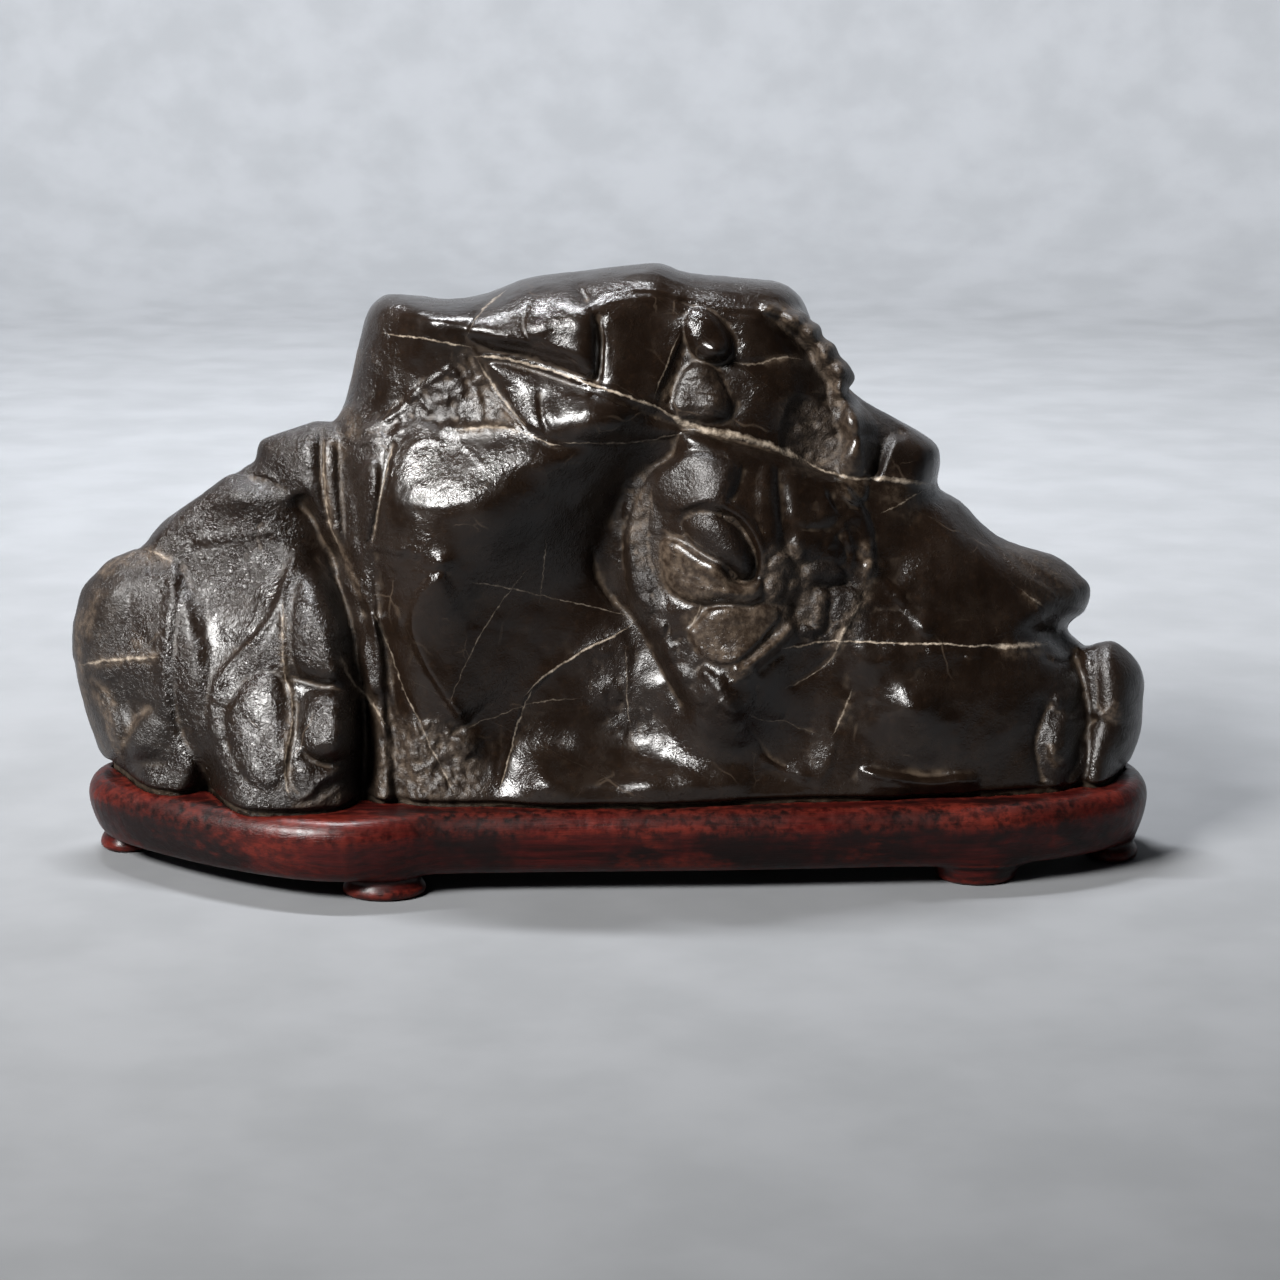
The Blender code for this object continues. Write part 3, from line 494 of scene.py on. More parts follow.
# --------------------------------------------- the display side, form by form
def display_side():
    r = Relief(U0, U1, V0, V1, 1.0)

    # ---- left boulder
    r.grain([(78, 600), (95, 575), (120, 562), (118, 600), (110, 655), (85, 655)],
            5, 16, 0.7, 0, 11, 7)
    r.crease([(140, 566), (130, 590), (132, 622), (150, 646), (160, 656)], 3.4, 0.8, 0.12)
    r.line([(82, 664), (100, 661), (120, 658), (140, 658), (158, 656)], 2.2, 0.35)
    r.ledge([(158, 660), (140, 662), (120, 663), (98, 666), (84, 669)], 12, -0.9, 0.1)
    r.swell(168, 700, 16, 26, 1.6, -6)
    r.crease([(88, 676), (104, 690), (116, 712), (124, 740), (132, 768)], 2.2, 1.6, 0.1)
    r.crease([(152, 706), (138, 716), (130, 728), (124, 744)], 2.0, 1.4, 0.12)
    r.ledge([(92, 676), (106, 700), (112, 728), (122, 752)], 10, 1.0, 0.1)
    r.plate([(104, 665), (140, 664), (152, 672), (146, 700), (120, 705), (106, 685)], 0.5, 6)
    r.dome(146, 735, 24, 22, 1.8, 20, 0.7)
    r.dome(112, 722, 16, 20, 1.4, -20, 0.7)
    r.dome(104, 700, 9, 12, 0.8, 0, 0.8)
    r.crease([(128, 700), (132, 725), (124, 750), (130, 770)], 3, 1.2)
    r.crease([(98, 700), (118, 703), (140, 702), (158, 712)], 3, 0.8)
    r.swell(146, 764, 22, 10, -3.4)
    r.swell(112, 690, 20, 16, -1.8)
    r.swell(118, 630, 22, 22, -1.4)
    r.swell(96, 742, 14, 14, -1.6)
    r.line([(96, 580), (112, 570), (130, 563), (150, 558), (166, 562)], 3.5, 0.7)
    r.crease([(100, 588), (122, 574), (146, 568), (164, 572)], 3, 0.7)
    r.line([(147, 549), (158, 554), (170, 561), (173, 566)], 2.2, 0.6)
    r.grain([(84, 690), (110, 680), (150, 705), (165, 740), (140, 770), (110, 760), (92, 730)],
            9, 12, 0.6, 20, 23, 8)

    # ---- left wedge
    r.line([(150, 545), (160, 533), (172, 520)], 3, 0.7)
    r.crease([(156, 553), (166, 540), (174, 528)], 3, 0.8)

    # ---- left lobe: rim, channels, the sharp crest and the bulges
    r.line([(186, 538), (178, 548), (175, 562), (172, 590), (168, 620), (165, 650), (162, 685),
            (167, 718), (178, 748), (194, 772)], 6.5, 1.3, 0.08)
    r.line([(183, 560), (180, 600), (176, 640), (173, 680), (178, 718), (190, 748), (206, 776)],
            5.5, -0.6, 0.1)
    r.line([(188, 700), (194, 728), (206, 752), (222, 776)], 1.6, 0.35)
    r.line([(180, 705), (186, 732), (198, 757), (214, 782)], 1.6, 0.3)
    r.line([(196, 690), (201, 720), (212, 748), (226, 772)], 1.8, 0.4)
    crest = [(300, 541), (294, 556), (286, 578), (279, 600), (270, 618), (258, 634), (245, 648),
             (231, 661), (220, 674), (213, 690), (210, 711), (212, 735), (219, 762), (231, 786)]
    r.ledge(crest, 20, 1.4, 0.05, 1.3)
    r.line(crest, 2.6, 0.55, 0.06)
    r.line([(288, 560), (280, 590), (268, 618), (254, 637), (240, 652), (227, 668), (220, 690),
            (217, 712), (220, 742), (232, 772)], 1.6, 0.3, 0.1)
    r.crease([(296, 560), (287, 596), (276, 622), (258, 644), (240, 660), (228, 676)], 3.4, 0.6)
    r.line([(300, 540), (280, 535), (256, 533), (230, 534), (206, 538), (190, 546)], 4, 0.6)
    r.swell(196, 655, 16, 40, 1.2, 6)
    r.line([(262, 520), (257, 535), (262, 552)], 2.5, -0.8)
    r.line([(263, 538), (276, 535), (292, 530)], 2, -0.45)
    r.line([(248, 545), (246, 560), (250, 580)], 1.6, -0.35)
    r.line([(272, 518), (266, 535), (270, 556), (280, 566)], 1.6, 0.4)
    r.line([(204, 545), (222, 540), (244, 541)], 3, 0.4)
    r.pillow([(238, 690), (252, 676), (270, 672), (283, 684), (288, 710), (288, 745), (284, 775),
              (272, 790), (254, 786), (238, 768), (228, 742), (226, 712)], 1.8, 16, 0.8)
    r.line([(283, 600), (282, 635), (284, 672), (290, 690), (292, 718), (287, 750), (284, 778),
            (292, 800)], 2.0, 0.7, 0.05)
    r.crease([(294, 690), (296, 720), (291, 752), (288, 778)], 2.5, 1.3)
    r.crease([(278, 690), (282, 720), (279, 752), (276, 780)], 2.0, 0.5)
    r.pillow([(296, 590), (306, 575), (322, 575), (335, 600), (342, 640), (345, 672), (335, 683),
              (312, 680), (298, 672), (292, 640)], 3.0, 22, 0.62)
    r.swell(332, 640, 16, 36, 2.2, -8)
    r.crease([(283, 677), (300, 680), (318, 685), (332, 687), (348, 692)], 2.6, 1.8)
    r.line([(297, 676), (312, 681), (328, 686)], 1.3, 0.4)
    r.pillow([(302, 700), (318, 690), (338, 694), (352, 710), (358, 735), (350, 755), (326, 762),
              (306, 752), (298, 728)], 3.0, 24, 0.62)
    r.swell(342, 742, 18, 20, 2.2, -8)
    r.crease([(300, 752), (318, 764), (340, 762), (360, 750)], 2.5, 1.3)
    r.pillow([(292, 770), (308, 762), (330, 768), (344, 772), (338, 782), (320, 790), (306, 800),
              (296, 792)], 1.6, 14, 0.7)
    r.line([(286, 788), (298, 798), (308, 795), (318, 783), (332, 773), (346, 766)], 2.6, 1.3)
    r.line([(300, 806), (318, 802), (336, 790), (352, 776)], 2.2, 0.8)
    r.grain([(286, 790), (340, 770), (366, 760), (372, 812), (330, 818), (290, 812)], 9, 7, 0.9, 20, 31, 8)
    r.swell(250, 495, 46, 15, 3.2, -6)
    r.crease([(190, 524), (214, 512), (240, 508), (272, 512)], 5, 0.4)
    r.grain([(180, 520), (212, 494), (262, 490), (296, 510), (270, 530), (215, 540), (185, 545)],
            16, 9, 0.25, -25, 37, 8)

    # ---- small lumps, upper left block and the wedge beside it
    r.line([(240, 480), (252, 474), (266, 474), (276, 482)], 2.2, 0.8)
    r.crease([(243, 474), (258, 477), (272, 482), (290, 492)], 2.6, 1.4)
    r.line([(256, 462), (262, 446), (284, 436), (316, 426)], 3, 0.7)
    r.crease([(262, 470), (284, 476), (304, 488)], 3, 0.8)
    r.crease([(322, 424), (321, 450), (322, 480), (326, 508), (331, 528)], 2.4, 3.6, 0.06)
    r.line([(326, 436), (325, 462), (327, 495), (331, 520), (336, 545)], 1.8, 0.9, 0.08)
    r.line([(299, 479), (308, 490), (316, 503), (322, 518)], 2.2, 0.9)
    r.crease([(298, 494), (304, 508), (318, 524), (330, 545), (344, 568), (358, 596), (368, 622)],
             4.5, 4.5, 0.06)
    r.line([(345, 488), (351, 503), (355, 530), (352, 562)], 2.2, 0.9)
    r.line([(334, 470), (340, 500), (343, 530), (346, 560)], 4, -0.5)
    r.line([(330, 425), (338, 438), (345, 452)], 3, 0.6)

    # ---- the twisted strands down the crevice
    r.line([(322, 556), (330, 578), (341, 600), (350, 622), (358, 650), (364, 680)], 2.2, 1.4)
    r.line([(330, 566), (344, 584), (360, 600), (370, 620)], 1.8, 1.2)
    r.line([(336, 556), (350, 575), (363, 594), (372, 618), (378, 650)], 1.8, 1.2)
    r.line([(340, 612), (346, 636), (356, 655), (360, 672)], 3.0, 1.8)
    r.line([(361, 640), (364, 660), (368, 680), (374, 700)], 4.0, 2.0)
    r.line([(343, 655), (349, 675), (362, 692), (374, 706), (384, 724), (392, 750)], 2.4, 1.4)
    r.line([(372, 612), (379, 650), (388, 690), (396, 720)], 2.0, 0.9)
    r.crease([(337, 585), (347, 608), (356, 634), (360, 655)], 2.2, 1.2)
    r.crease([(356, 600), (366, 628), (372, 655), (376, 690)], 2.2, 1.4)
    r.crease([(362, 694), (371, 712), (374, 738), (372, 765), (369, 800)], 4.5, 3.6, 0.08)
    r.line([(378, 715), (377, 745), (376, 780), (379, 806)], 2.6, 1.2)

    # ---- the standing rod and the ragged edge above it
    r.pillow([(361, 470), (368, 458), (377, 462), (380, 480), (377, 510), (371, 538), (364, 542),
              (359, 525), (359, 495)], 1.8, 9, 0.7)
    r.crease([(394, 440), (387, 466), (382, 490), (377, 516), (372, 543)], 2.4, 1.6, 0.06)
    r.line([(398, 442), (391, 468), (386, 492), (381, 518)], 1.4, 0.7, 0.1)
    r.line([(356, 436), (370, 427), (386, 418), (398, 411), (404, 403)], 2.6, 1.5)
    r.line([(357, 446), (372, 440), (384, 432)], 2.0, 1.0)
    r.line([(404, 400), (416, 395), (424, 402), (430, 415)], 2.2, 0.9)
    r.line([(410, 398), (418, 388), (430, 381), (444, 372), (452, 360)], 2.0, 0.8)
    r.ledge([(356, 438), (374, 426), (396, 413), (408, 398), (430, 381), (448, 366), (462, 350)],
            18, -0.9, 0.06)
    r.grain([(352, 445), (380, 415), (410, 398), (412, 430), (388, 450), (366, 456)], 7, 5, 0.7, -25, 41, 8)

    # ---- flat upper left facet
    r.line([(393, 335), (415, 338), (440, 342), (462, 345)], 1.4, 0.35)
    r.line([(370, 318), (388, 308), (410, 300)], 3, 0.4)
    r.line([(372, 375), (376, 362), (378, 352)], 1.5, 0.3)
    r.crease([(382, 352), (392, 346), (402, 345)], 1.6, 0.3)

    # ---- rough ground in the angle of the two veins
    r.plate([(404, 412), (424, 390), (446, 366), (466, 350), (482, 366), (500, 396), (512, 420),
             (498, 426), (470, 424), (440, 424), (416, 420)], -1.0, 8)
    r.grain([(402, 414), (424, 388), (446, 364), (470, 346), (486, 366), (504, 398), (518, 424),
             (490, 434), (450, 436), (414, 428)], 9, 9, 1.2, 35, 47, 8, 4)
    r.line([(470, 346), (480, 366), (490, 385), (500, 402), (512, 418), (524, 432)], 1.8, 0.8, 0.05)
    r.line([(462, 352), (470, 374), (478, 395), (482, 410)], 2, 0.6)
    r.line([(455, 430), (470, 428), (482, 429)], 2.4, 0.6)
    r.line([(484, 424), (500, 427), (518, 430)], 2.0, 0.6)

    # ---- lens between the veins
    r.pillow([(488, 364), (510, 366), (540, 375), (575, 388), (612, 402), (650, 416), (684, 430),
              (676, 438), (640, 441), (600, 442), (562, 442), (540, 436), (522, 424), (510, 404),
              (497, 384)], 2.2, 22, 0.6)
    r.swell(532, 414, 16, 22, 0.7, -20)
    r.swell(592, 424, 34, 22, 0.9, 12)
    r.line([(540, 388), (541, 404), (543, 420), (549, 434)], 2.4, -0.9)
    r.line([(500, 372), (506, 386), (512, 396)], 1.6, 0.3)
    r.swell(640, 420, 34, 12, -0.9, 16)

    # ---- dome above the main vein, and its ledges
    r.pillow([(466, 334), (474, 318), (488, 302), (504, 290), (522, 283), (546, 281), (566, 285),
              (580, 296), (592, 312), (598, 335), (599, 362), (596, 378), (566, 370), (540, 361),
              (512, 353), (486, 348)], 3.0, 26, 0.6)
    r.swell(508, 340, 22, 9, 1.2, 8)
    r.swell(536, 330, 14, 12, 1.2)
    r.swell(566, 350, 26, 9, 1.1, 14)
    r.line([(528, 300), (524, 318), (524, 330), (532, 341), (546, 344)], 2.0, -0.9)
    r.ledge([(480, 337), (505, 339), (530, 345), (556, 356), (582, 366)], 10, 0.7, 0.1)
    r.line([(486, 346), (510, 349), (534, 353), (560, 361), (586, 366)], 1.8, 0.6)
    r.crease([(500, 344), (524, 349), (548, 356), (580, 364)], 2.0, 0.7)
    r.crease([(572, 268), (578, 280), (583, 292), (590, 303)], 4.0, 3.2, 0.1)
    r.grain([(520, 300), (555, 295), (570, 315), (560, 340), (530, 340)], 5, 8, 0.35, 0, 53, 8)

    # ---- flat facet right of the dome, nodule, brown fan and the block beside it
    r.crease([(598, 312), (601, 330), (601, 352), (598, 374), (594, 388)], 3.0, 2.6, 0.08)
    r.line([(605, 320), (606, 340), (606, 360), (603, 384)], 2.2, 0.6)
    r.ledge([(655, 398), (664, 376), (674, 352), (682, 333), (684, 318)], 22, 1.0, 0.06)
    r.line([(684, 332), (674, 352), (664, 377), (655, 397)], 1.6, 0.5)
    r.crease([(690, 338), (682, 358), (674, 380), (668, 398)], 2.4, 0.8)
    r.pillow([(684, 322), (692, 308), (706, 308), (720, 320), (730, 338), (730, 354), (718, 362),
              (700, 360), (688, 346)], 4.6, 19, 0.62)
    r.swell(686, 322, 8, 9, 1.0)
    r.crease([(676, 300), (694, 306), (714, 314), (728, 324), (737, 340), (735, 354), (727, 363),
              (714, 368)], 2.0, 1.0, 0.06)
    r.swell(716, 352, 11, 9, 2.2)
    r.swell(694, 320, 12, 12, -1.6)
    r.pillow([(672, 400), (680, 376), (694, 362), (712, 366), (724, 384), (732, 404), (730, 418),
              (712, 424), (690, 420), (674, 412)], 2.8, 17, 0.65)
    r.swell(712, 404, 13, 12, 1.6)
    r.swell(686, 384, 10, 10, -0.9)
    for k in range(8):
        v = 370 + 6.4 * k
        r.line([(680 - k, v + 5), (700, v - 2 + k % 3), (724 + k, v + 5 - k % 2)], 1.5, 0.75)
    r.line([(656, 402), (662, 390), (668, 396), (662, 404)], 2.0, 0.6)
    r.crease([(716, 420), (728, 416), (738, 408), (738, 396)], 2.2, 0.9)
    r.line([(768, 360), (746, 362), (730, 366)], 1.6, -0.5)
    r.crease([(732, 362), (752, 365), (772, 362), (790, 357), (802, 360)], 2.0, 1.0)
    r.line([(768, 363), (782, 360), (794, 358)], 2.0, 0.6)
    r.swell(764, 332, 30, 20, 0.8)
    r.swell(764, 396, 26, 26, 1.0)

    # ---- crest: stripes that run with it
    for k, (a, b) in enumerate(((0, 1.0), (7, 0.7), (15, 0.9), (24, 0.5))):
        r.line([(590, 283 + a), (620, 276 + a), (650, 274 + a), (680, 282 + a), (712, 291 + a),
                (745, 294 + a), (778, 296 + a), (800, 306 + a)], 3.0, 0.45 * b)
        r.line([(590, 288 + a), (620, 280 + a), (650, 278 + a), (680, 287 + a), (712, 296 + a),
                (745, 299 + a), (778, 301 + a)], 2.4, -0.35 * b)
    r.line([(588, 275), (600, 270), (612, 270)], 3, 0.6)

    # ---- chain of nodules down the right shoulder
    for u, v, a, b, t in ((772, 310, 11, 8, 15), (793, 321, 14, 9, 38), (810, 333, 12, 9, 38),
                          (825, 350, 15, 11, 45), (841, 368, 11, 14, -15), (838, 389, 10, 10, 0)):
        r.dome(u, v, a, b, 2.4, t, 0.55)
    r.crease([(807, 312), (803, 326), (796, 340)], 2.0, 1.5, 0.1)
    r.crease([(823, 330), (815, 344), (808, 356)], 2.0, 1.5, 0.1)
    r.crease([(841, 350), (834, 362), (824, 374)], 2.2, 1.7, 0.1)
    r.crease([(856, 381), (844, 381), (830, 383)], 2.0, 1.5, 0.1)
    r.crease([(850, 398), (842, 401), (834, 401)], 2.0, 1.5, 0.1)
    r.crease([(764, 310), (780, 324), (796, 340), (806, 352), (818, 366), (826, 382), (827, 396),
              (818, 408)], 3.4, 2.2, 0.06)
    r.crease([(826, 396), (832, 412), (838, 428), (844, 440)], 3, 1.8)
    r.grain([(778, 312), (800, 316), (836, 344), (852, 372), (848, 400), (826, 412), (822, 380),
             (800, 345)], 6, 6, 0.6, 30, 59, 5)
    r.swell(806, 396, 14, 22, -1.2, 20)
    r.plate([(792, 402), (806, 398), (826, 412), (840, 432), (840, 452), (820, 468), (796, 462),
             (782, 448), (784, 424)], -1.8, 9)
    r.grain([(784, 402), (822, 404), (846, 440), (838, 470), (796, 468), (776, 444)], 9, 8, 1.1, 20, 61, 8)

    # ---- fin behind the shoulder, with the hollow in front of it
    r.plate([(862, 398), (878, 405), (900, 424), (904, 436), (892, 440), (880, 470), (872, 478),
             (866, 450), (862, 420)], -4.5, 12)
    r.ledge([(866, 392), (884, 408), (904, 424), (924, 440), (934, 456), (934, 478)], 8, 1.2, 0.05)

    # ---- grey ribs under the nodules
    r.pillow([(844, 405), (856, 404), (868, 412), (874, 426), (864, 434), (850, 440), (842, 428)],
             2.4, 11, 0.6)
    r.pillow([(850, 440), (866, 434), (878, 440), (878, 458), (866, 474), (848, 478), (838, 470),
              (842, 454)], 2.6, 12, 0.6)
    r.pillow([(838, 478), (852, 478), (868, 484), (866, 500), (852, 503), (842, 494)], 1.8, 9, 0.6)
    r.line([(834, 474), (838, 488), (846, 498), (856, 503), (864, 506)], 2.0, 1.0)
    r.line([(846, 412), (848, 426), (846, 436)], 1.6, 0.5)

    # ---- main vein, standing slightly proud
    r.line([(480, 357), (500, 357), (520, 361), (540, 367), (560, 374), (580, 381), (600, 388),
            (620, 395), (640, 401), (654, 406), (668, 412)], 1.9, 0.75, 0.04)
    r.line([(660, 409), (680, 419), (700, 427), (730, 434), (760, 442), (786, 452), (804, 460)],
            4.6, 1.2, 0.06)
    r.crease([(676, 424), (700, 436), (730, 444), (760, 452), (788, 461)], 2.0, 1.0)
    r.line([(804, 460), (822, 470), (836, 474), (850, 478)], 2.6, 0.7)
    r.line([(852, 478), (880, 478), (906, 480), (930, 484)], 3.0, 0.8)
    r.line([(940, 490), (924, 494), (908, 501), (892, 509), (880, 514)], 1.5, 0.4)
    r.line([(545, 441), (560, 445), (575, 443)], 1.6, 0.4)
    r.line([(530, 434), (545, 440), (566, 443), (600, 443), (630, 442)], 1.5, 0.5)

    # ---- round medallion: a boss in a wide valley
    r.pillow([(684, 430), (672, 456), (652, 472), (637, 494), (628, 520), (624, 545), (626, 572),
              (632, 598), (644, 622), (656, 650), (668, 680), (688, 706), (712, 722), (740, 720),
              (764, 700), (796, 662), (850, 646), (868, 604), (876, 552), (868, 512), (842, 480),
              (804, 464), (760, 448), (720, 438)], 4.2, 13, 0.6, (700, 590, 790, 690))
    r.line([(650, 462), (622, 494), (606, 536), (608, 576), (624, 616), (640, 650), (660, 684)],
           14, -3.2, 0.15)
    r.crease([(682, 430), (681, 446), (670, 457), (656, 463), (642, 472), (630, 486), (618, 504),
              (606, 530)], 3.4, 0.9, 0.08)
    r.crease([(592, 545), (598, 578), (612, 598), (634, 620), (648, 646), (662, 672), (690, 722)],
             3.0, 1.8, 0.10)
    r.swell(712, 504, 36, 34, 3.2)
    for u, v, a, b, t in ((634, 488, 9, 12, 30), (630, 512, 8, 12, 5), (629, 538, 7, 13, 0),
                          (631, 562, 8, 10, 0), (636, 584, 8, 11, -15), (646, 606, 8, 11, -25),
                          (658, 628, 9, 12, -30), (668, 652, 9, 12, -20), (682, 676, 10, 12, -30),
                          (702, 696, 12, 10, 30), (724, 706, 11, 8, 20)):
        r.dome(u, v, a, b, 0.9, t, 0.6)
    r.swell(722, 714, 42, 34, 6.0)
    r.pillow([(652, 478), (668, 462), (690, 452), (716, 455), (736, 464), (734, 482), (726, 498),
              (704, 503), (684, 510), (664, 512), (652, 498)], 2.4, 18, 0.6)
    r.line([(739, 462), (736, 478), (730, 492), (720, 506)], 2.4, 0.8)
    r.crease([(746, 464), (742, 482), (736, 496), (728, 508)], 2.0, 0.8)
    r.line([(722, 446), (729, 454), (737, 463)], 1.5, 0.5)
    r.crease([(652, 486), (648, 510), (648, 540), (652, 566), (660, 590), (668, 606)], 3.4, 1.5)
    r.grain([(624, 480), (654, 478), (656, 520), (654, 560), (660, 600), (640, 612), (620, 570)],
            4, 6, 1.2, 0, 67, 6)
    r.swell(652, 529, 9, 5, 0.8)

    # ---- the eye
    eye = [(681, 524), (688, 516), (700, 512), (716, 513), (732, 520), (744, 533), (752, 548),
           (756, 564), (752, 577), (741, 581), (733, 576), (724, 565), (712, 558), (698, 551),
           (688, 541)]
    r.plate(eye, -1.4, 5)
    r.pillow(eye, 3.4, 20, 0.7)
    r.swell(724, 556, 16, 13, 1.4, 35)
    r.crease(eye[3:12], 2.0, 2.8, 0.1)
    r.line([(674, 520), (680, 510), (694, 504), (712, 503), (730, 508), (746, 520), (758, 538),
            (763, 560), (759, 580)], 4.0, 1.8, 0.08)
    r.line([(682, 506), (700, 499), (720, 500), (738, 508)], 2.4, 0.6)
    lip = [(662, 540), (676, 540), (690, 548), (704, 557), (720, 566), (732, 580), (745, 584),
           (760, 578), (764, 590), (758, 600), (744, 605), (722, 602), (704, 603), (688, 600),
           (672, 590), (664, 578), (660, 560)]
    r.pillow(lip, 2.6, 12, 0.6)
    r.crease([(662, 578), (668, 590), (682, 600), (700, 606), (722, 606), (744, 608), (764, 602)],
             2.4, 1.4)
    r.line([(664, 578), (672, 589), (684, 597), (698, 601)], 1.8, 0.8)
    r.line([(742, 603), (754, 601), (764, 594)], 1.8, 0.7)
    r.line([(672, 560), (688, 572), (708, 580), (734, 590)], 1.6, -0.4)
    r.line([(668, 575), (690, 586), (716, 592), (744, 594)], 1.4, 0.35)

    # ---- the plate under it, ribs and rims
    r.plate([(706, 610), (730, 606), (764, 605), (780, 612), (774, 626), (762, 640), (748, 654),
             (730, 664), (706, 658), (692, 640), (690, 628), (700, 618)], 1.3, 4)
    r.crease([(704, 602), (706, 610), (698, 620), (689, 630)], 2.4, 1.6)
    r.line([(718, 622), (738, 622), (758, 628)], 1.0, 0.2)
    r.line([(700, 645), (720, 650), (742, 650)], 1.0, 0.2)
    r.crease([(776, 628), (766, 642), (752, 656), (738, 668)], 2.0, 1.2)
    r.line([(794, 620), (786, 634), (772, 646), (756, 659), (742, 668), (730, 676)], 5.5, 2.0, 0.1)
    r.line([(752, 674), (740, 678), (730, 684)], 2.0, 0.8)
    r.crease([(786, 652), (770, 662), (756, 674)], 2.6, 1.2)
    r.swell(752, 668, 40, 34, 3.0)
    r.line([(700, 668), (712, 680), (722, 694), (734, 708), (742, 716)], 5.5, 1.6, 0.1)
    r.line([(716, 700), (726, 708), (738, 714)], 2.5, 0.8)
    r.grain([(648, 608), (690, 630), (706, 660), (730, 676), (744, 716), (712, 718), (680, 690),
             (654, 645)], 7, 9, 0.8, 40, 71, 7)
    r.swell(706, 715, 18, 10, -1.0, 30)

    # ---- column and dark lobes right of the medallion
    r.pillow([(760, 470), (772, 462), (779, 478), (780, 510), (782, 540), (788, 556), (776, 566),
              (766, 556), (762, 530), (756, 500)], 1.0, 11, 0.8)
    r.crease([(780, 464), (779, 488), (781, 512), (785, 536), (792, 556)], 2.4, 1.0, 0.06)
    r.pillow([(786, 470), (806, 472), (824, 486), (834, 504), (836, 522), (820, 530), (800, 526),
              (788, 508)], 1.3, 15, 0.8)
    r.pillow([(796, 532), (816, 530), (836, 534), (846, 552), (842, 566), (822, 566), (802, 562),
              (792, 548)], 1.6, 13, 0.75)
    r.pillow([(804, 568), (820, 562), (840, 566), (846, 576), (836, 584), (816, 584), (804, 578)],
             1.8, 9, 0.6)
    r.crease([(790, 556), (800, 566), (806, 576)], 2.4, 1.2)
    r.line([(820, 488), (830, 502), (840, 520), (848, 538), (852, 556), (848, 572)], 2.2, 1.0)
    r.crease([(812, 583), (826, 588), (842, 584), (850, 576)], 2.2, 1.3)
    r.crease([(826, 492), (836, 508), (842, 526)], 2.0, 0.8)
    r.line([(838, 470), (846, 500), (862, 512)], 2.4, -0.8)
    r.grain([(780, 470), (830, 480), (866, 500), (870, 560), (850, 585), (800, 570), (782, 530)],
            11, 12, 0.7, 0, 73, 8)
    r.line([(868, 540), (872, 556), (868, 574), (862, 590)], 4.0, 1.0)
    r.dome(868, 548, 8, 9, 1.0, 0, 0.6)
    r.dome(870, 568, 8, 8, 1.0, 0, 0.6)

    # ---- brown nodules below them
    r.dome(782, 566, 14, 12, 2.0, -30, 0.55)
    r.dome(776, 588, 11, 15, 2.2, 10, 0.55)
    r.dome(794, 588, 7, 7, 1.2, 0, 0.55)
    r.swell(796, 604, 7, 13, -2.6)
    r.dome(798, 552, 7, 11, 1.6, -20, 0.6)
    r.pillow([(822, 586), (830, 590), (830, 612), (824, 632), (814, 630), (810, 610), (814, 594)],
             2.0, 9, 0.6)
    r.pillow([(832, 590), (850, 586), (862, 594), (858, 610), (846, 624), (834, 630), (830, 610)],
             2.0, 12, 0.6)
    for k in range(4):
        r.line([(802 + 3 * k, 592 + k), (800 + 3 * k, 606), (798 + 3 * k, 618 + k)], 1.0, 0.5)
    r.line([(864, 598), (856, 612), (846, 626), (840, 640), (834, 654)], 3.4, 1.4, 0.1)
    r.line([(800, 624), (812, 630), (826, 636), (838, 634)], 2.2, 0.7)
    r.dome(808, 632, 9, 7, 1.2, 10, 0.6)
    r.grain([(764, 552), (800, 545), (822, 580), (866, 585), (860, 625), (836, 660), (800, 640),
             (768, 610)], 7, 7, 0.8, 0, 79, 7)

    # ---- lower right of the medallion: low crazed plates
    r.line([(785, 648), (800, 647), (818, 642), (840, 641)], 1.6, 0.5)
    r.crease([(846, 642), (836, 654), (820, 666), (804, 678), (790, 687)], 1.8, 0.8)
    r.crease([(752, 674), (757, 688), (756, 704), (764, 718), (784, 720), (786, 702)], 1.8, 0.7)
    r.crease([(784, 720), (798, 727), (814, 732)], 1.6, 0.5)
    r.crease([(856, 688), (848, 704), (842, 720), (834, 734)], 2.4, 0.8)
    r.line([(850, 700), (844, 714), (838, 728)], 2.4, 0.6)
    r.swell(800, 705, 26, 22, 0.7)
    r.crease([(742, 716), (752, 730), (762, 744), (772, 760), (790, 770), (808, 780)], 3.0, 1.2)
    r.line([(760, 758), (776, 766), (792, 772), (810, 780)], 3.2, 1.3)
    r.swell(800, 772, 14, 8, 0.9, 20)
    r.ledge([(816, 790), (830, 770), (836, 745), (846, 720), (858, 692)], 22, 0.8, 0.1)

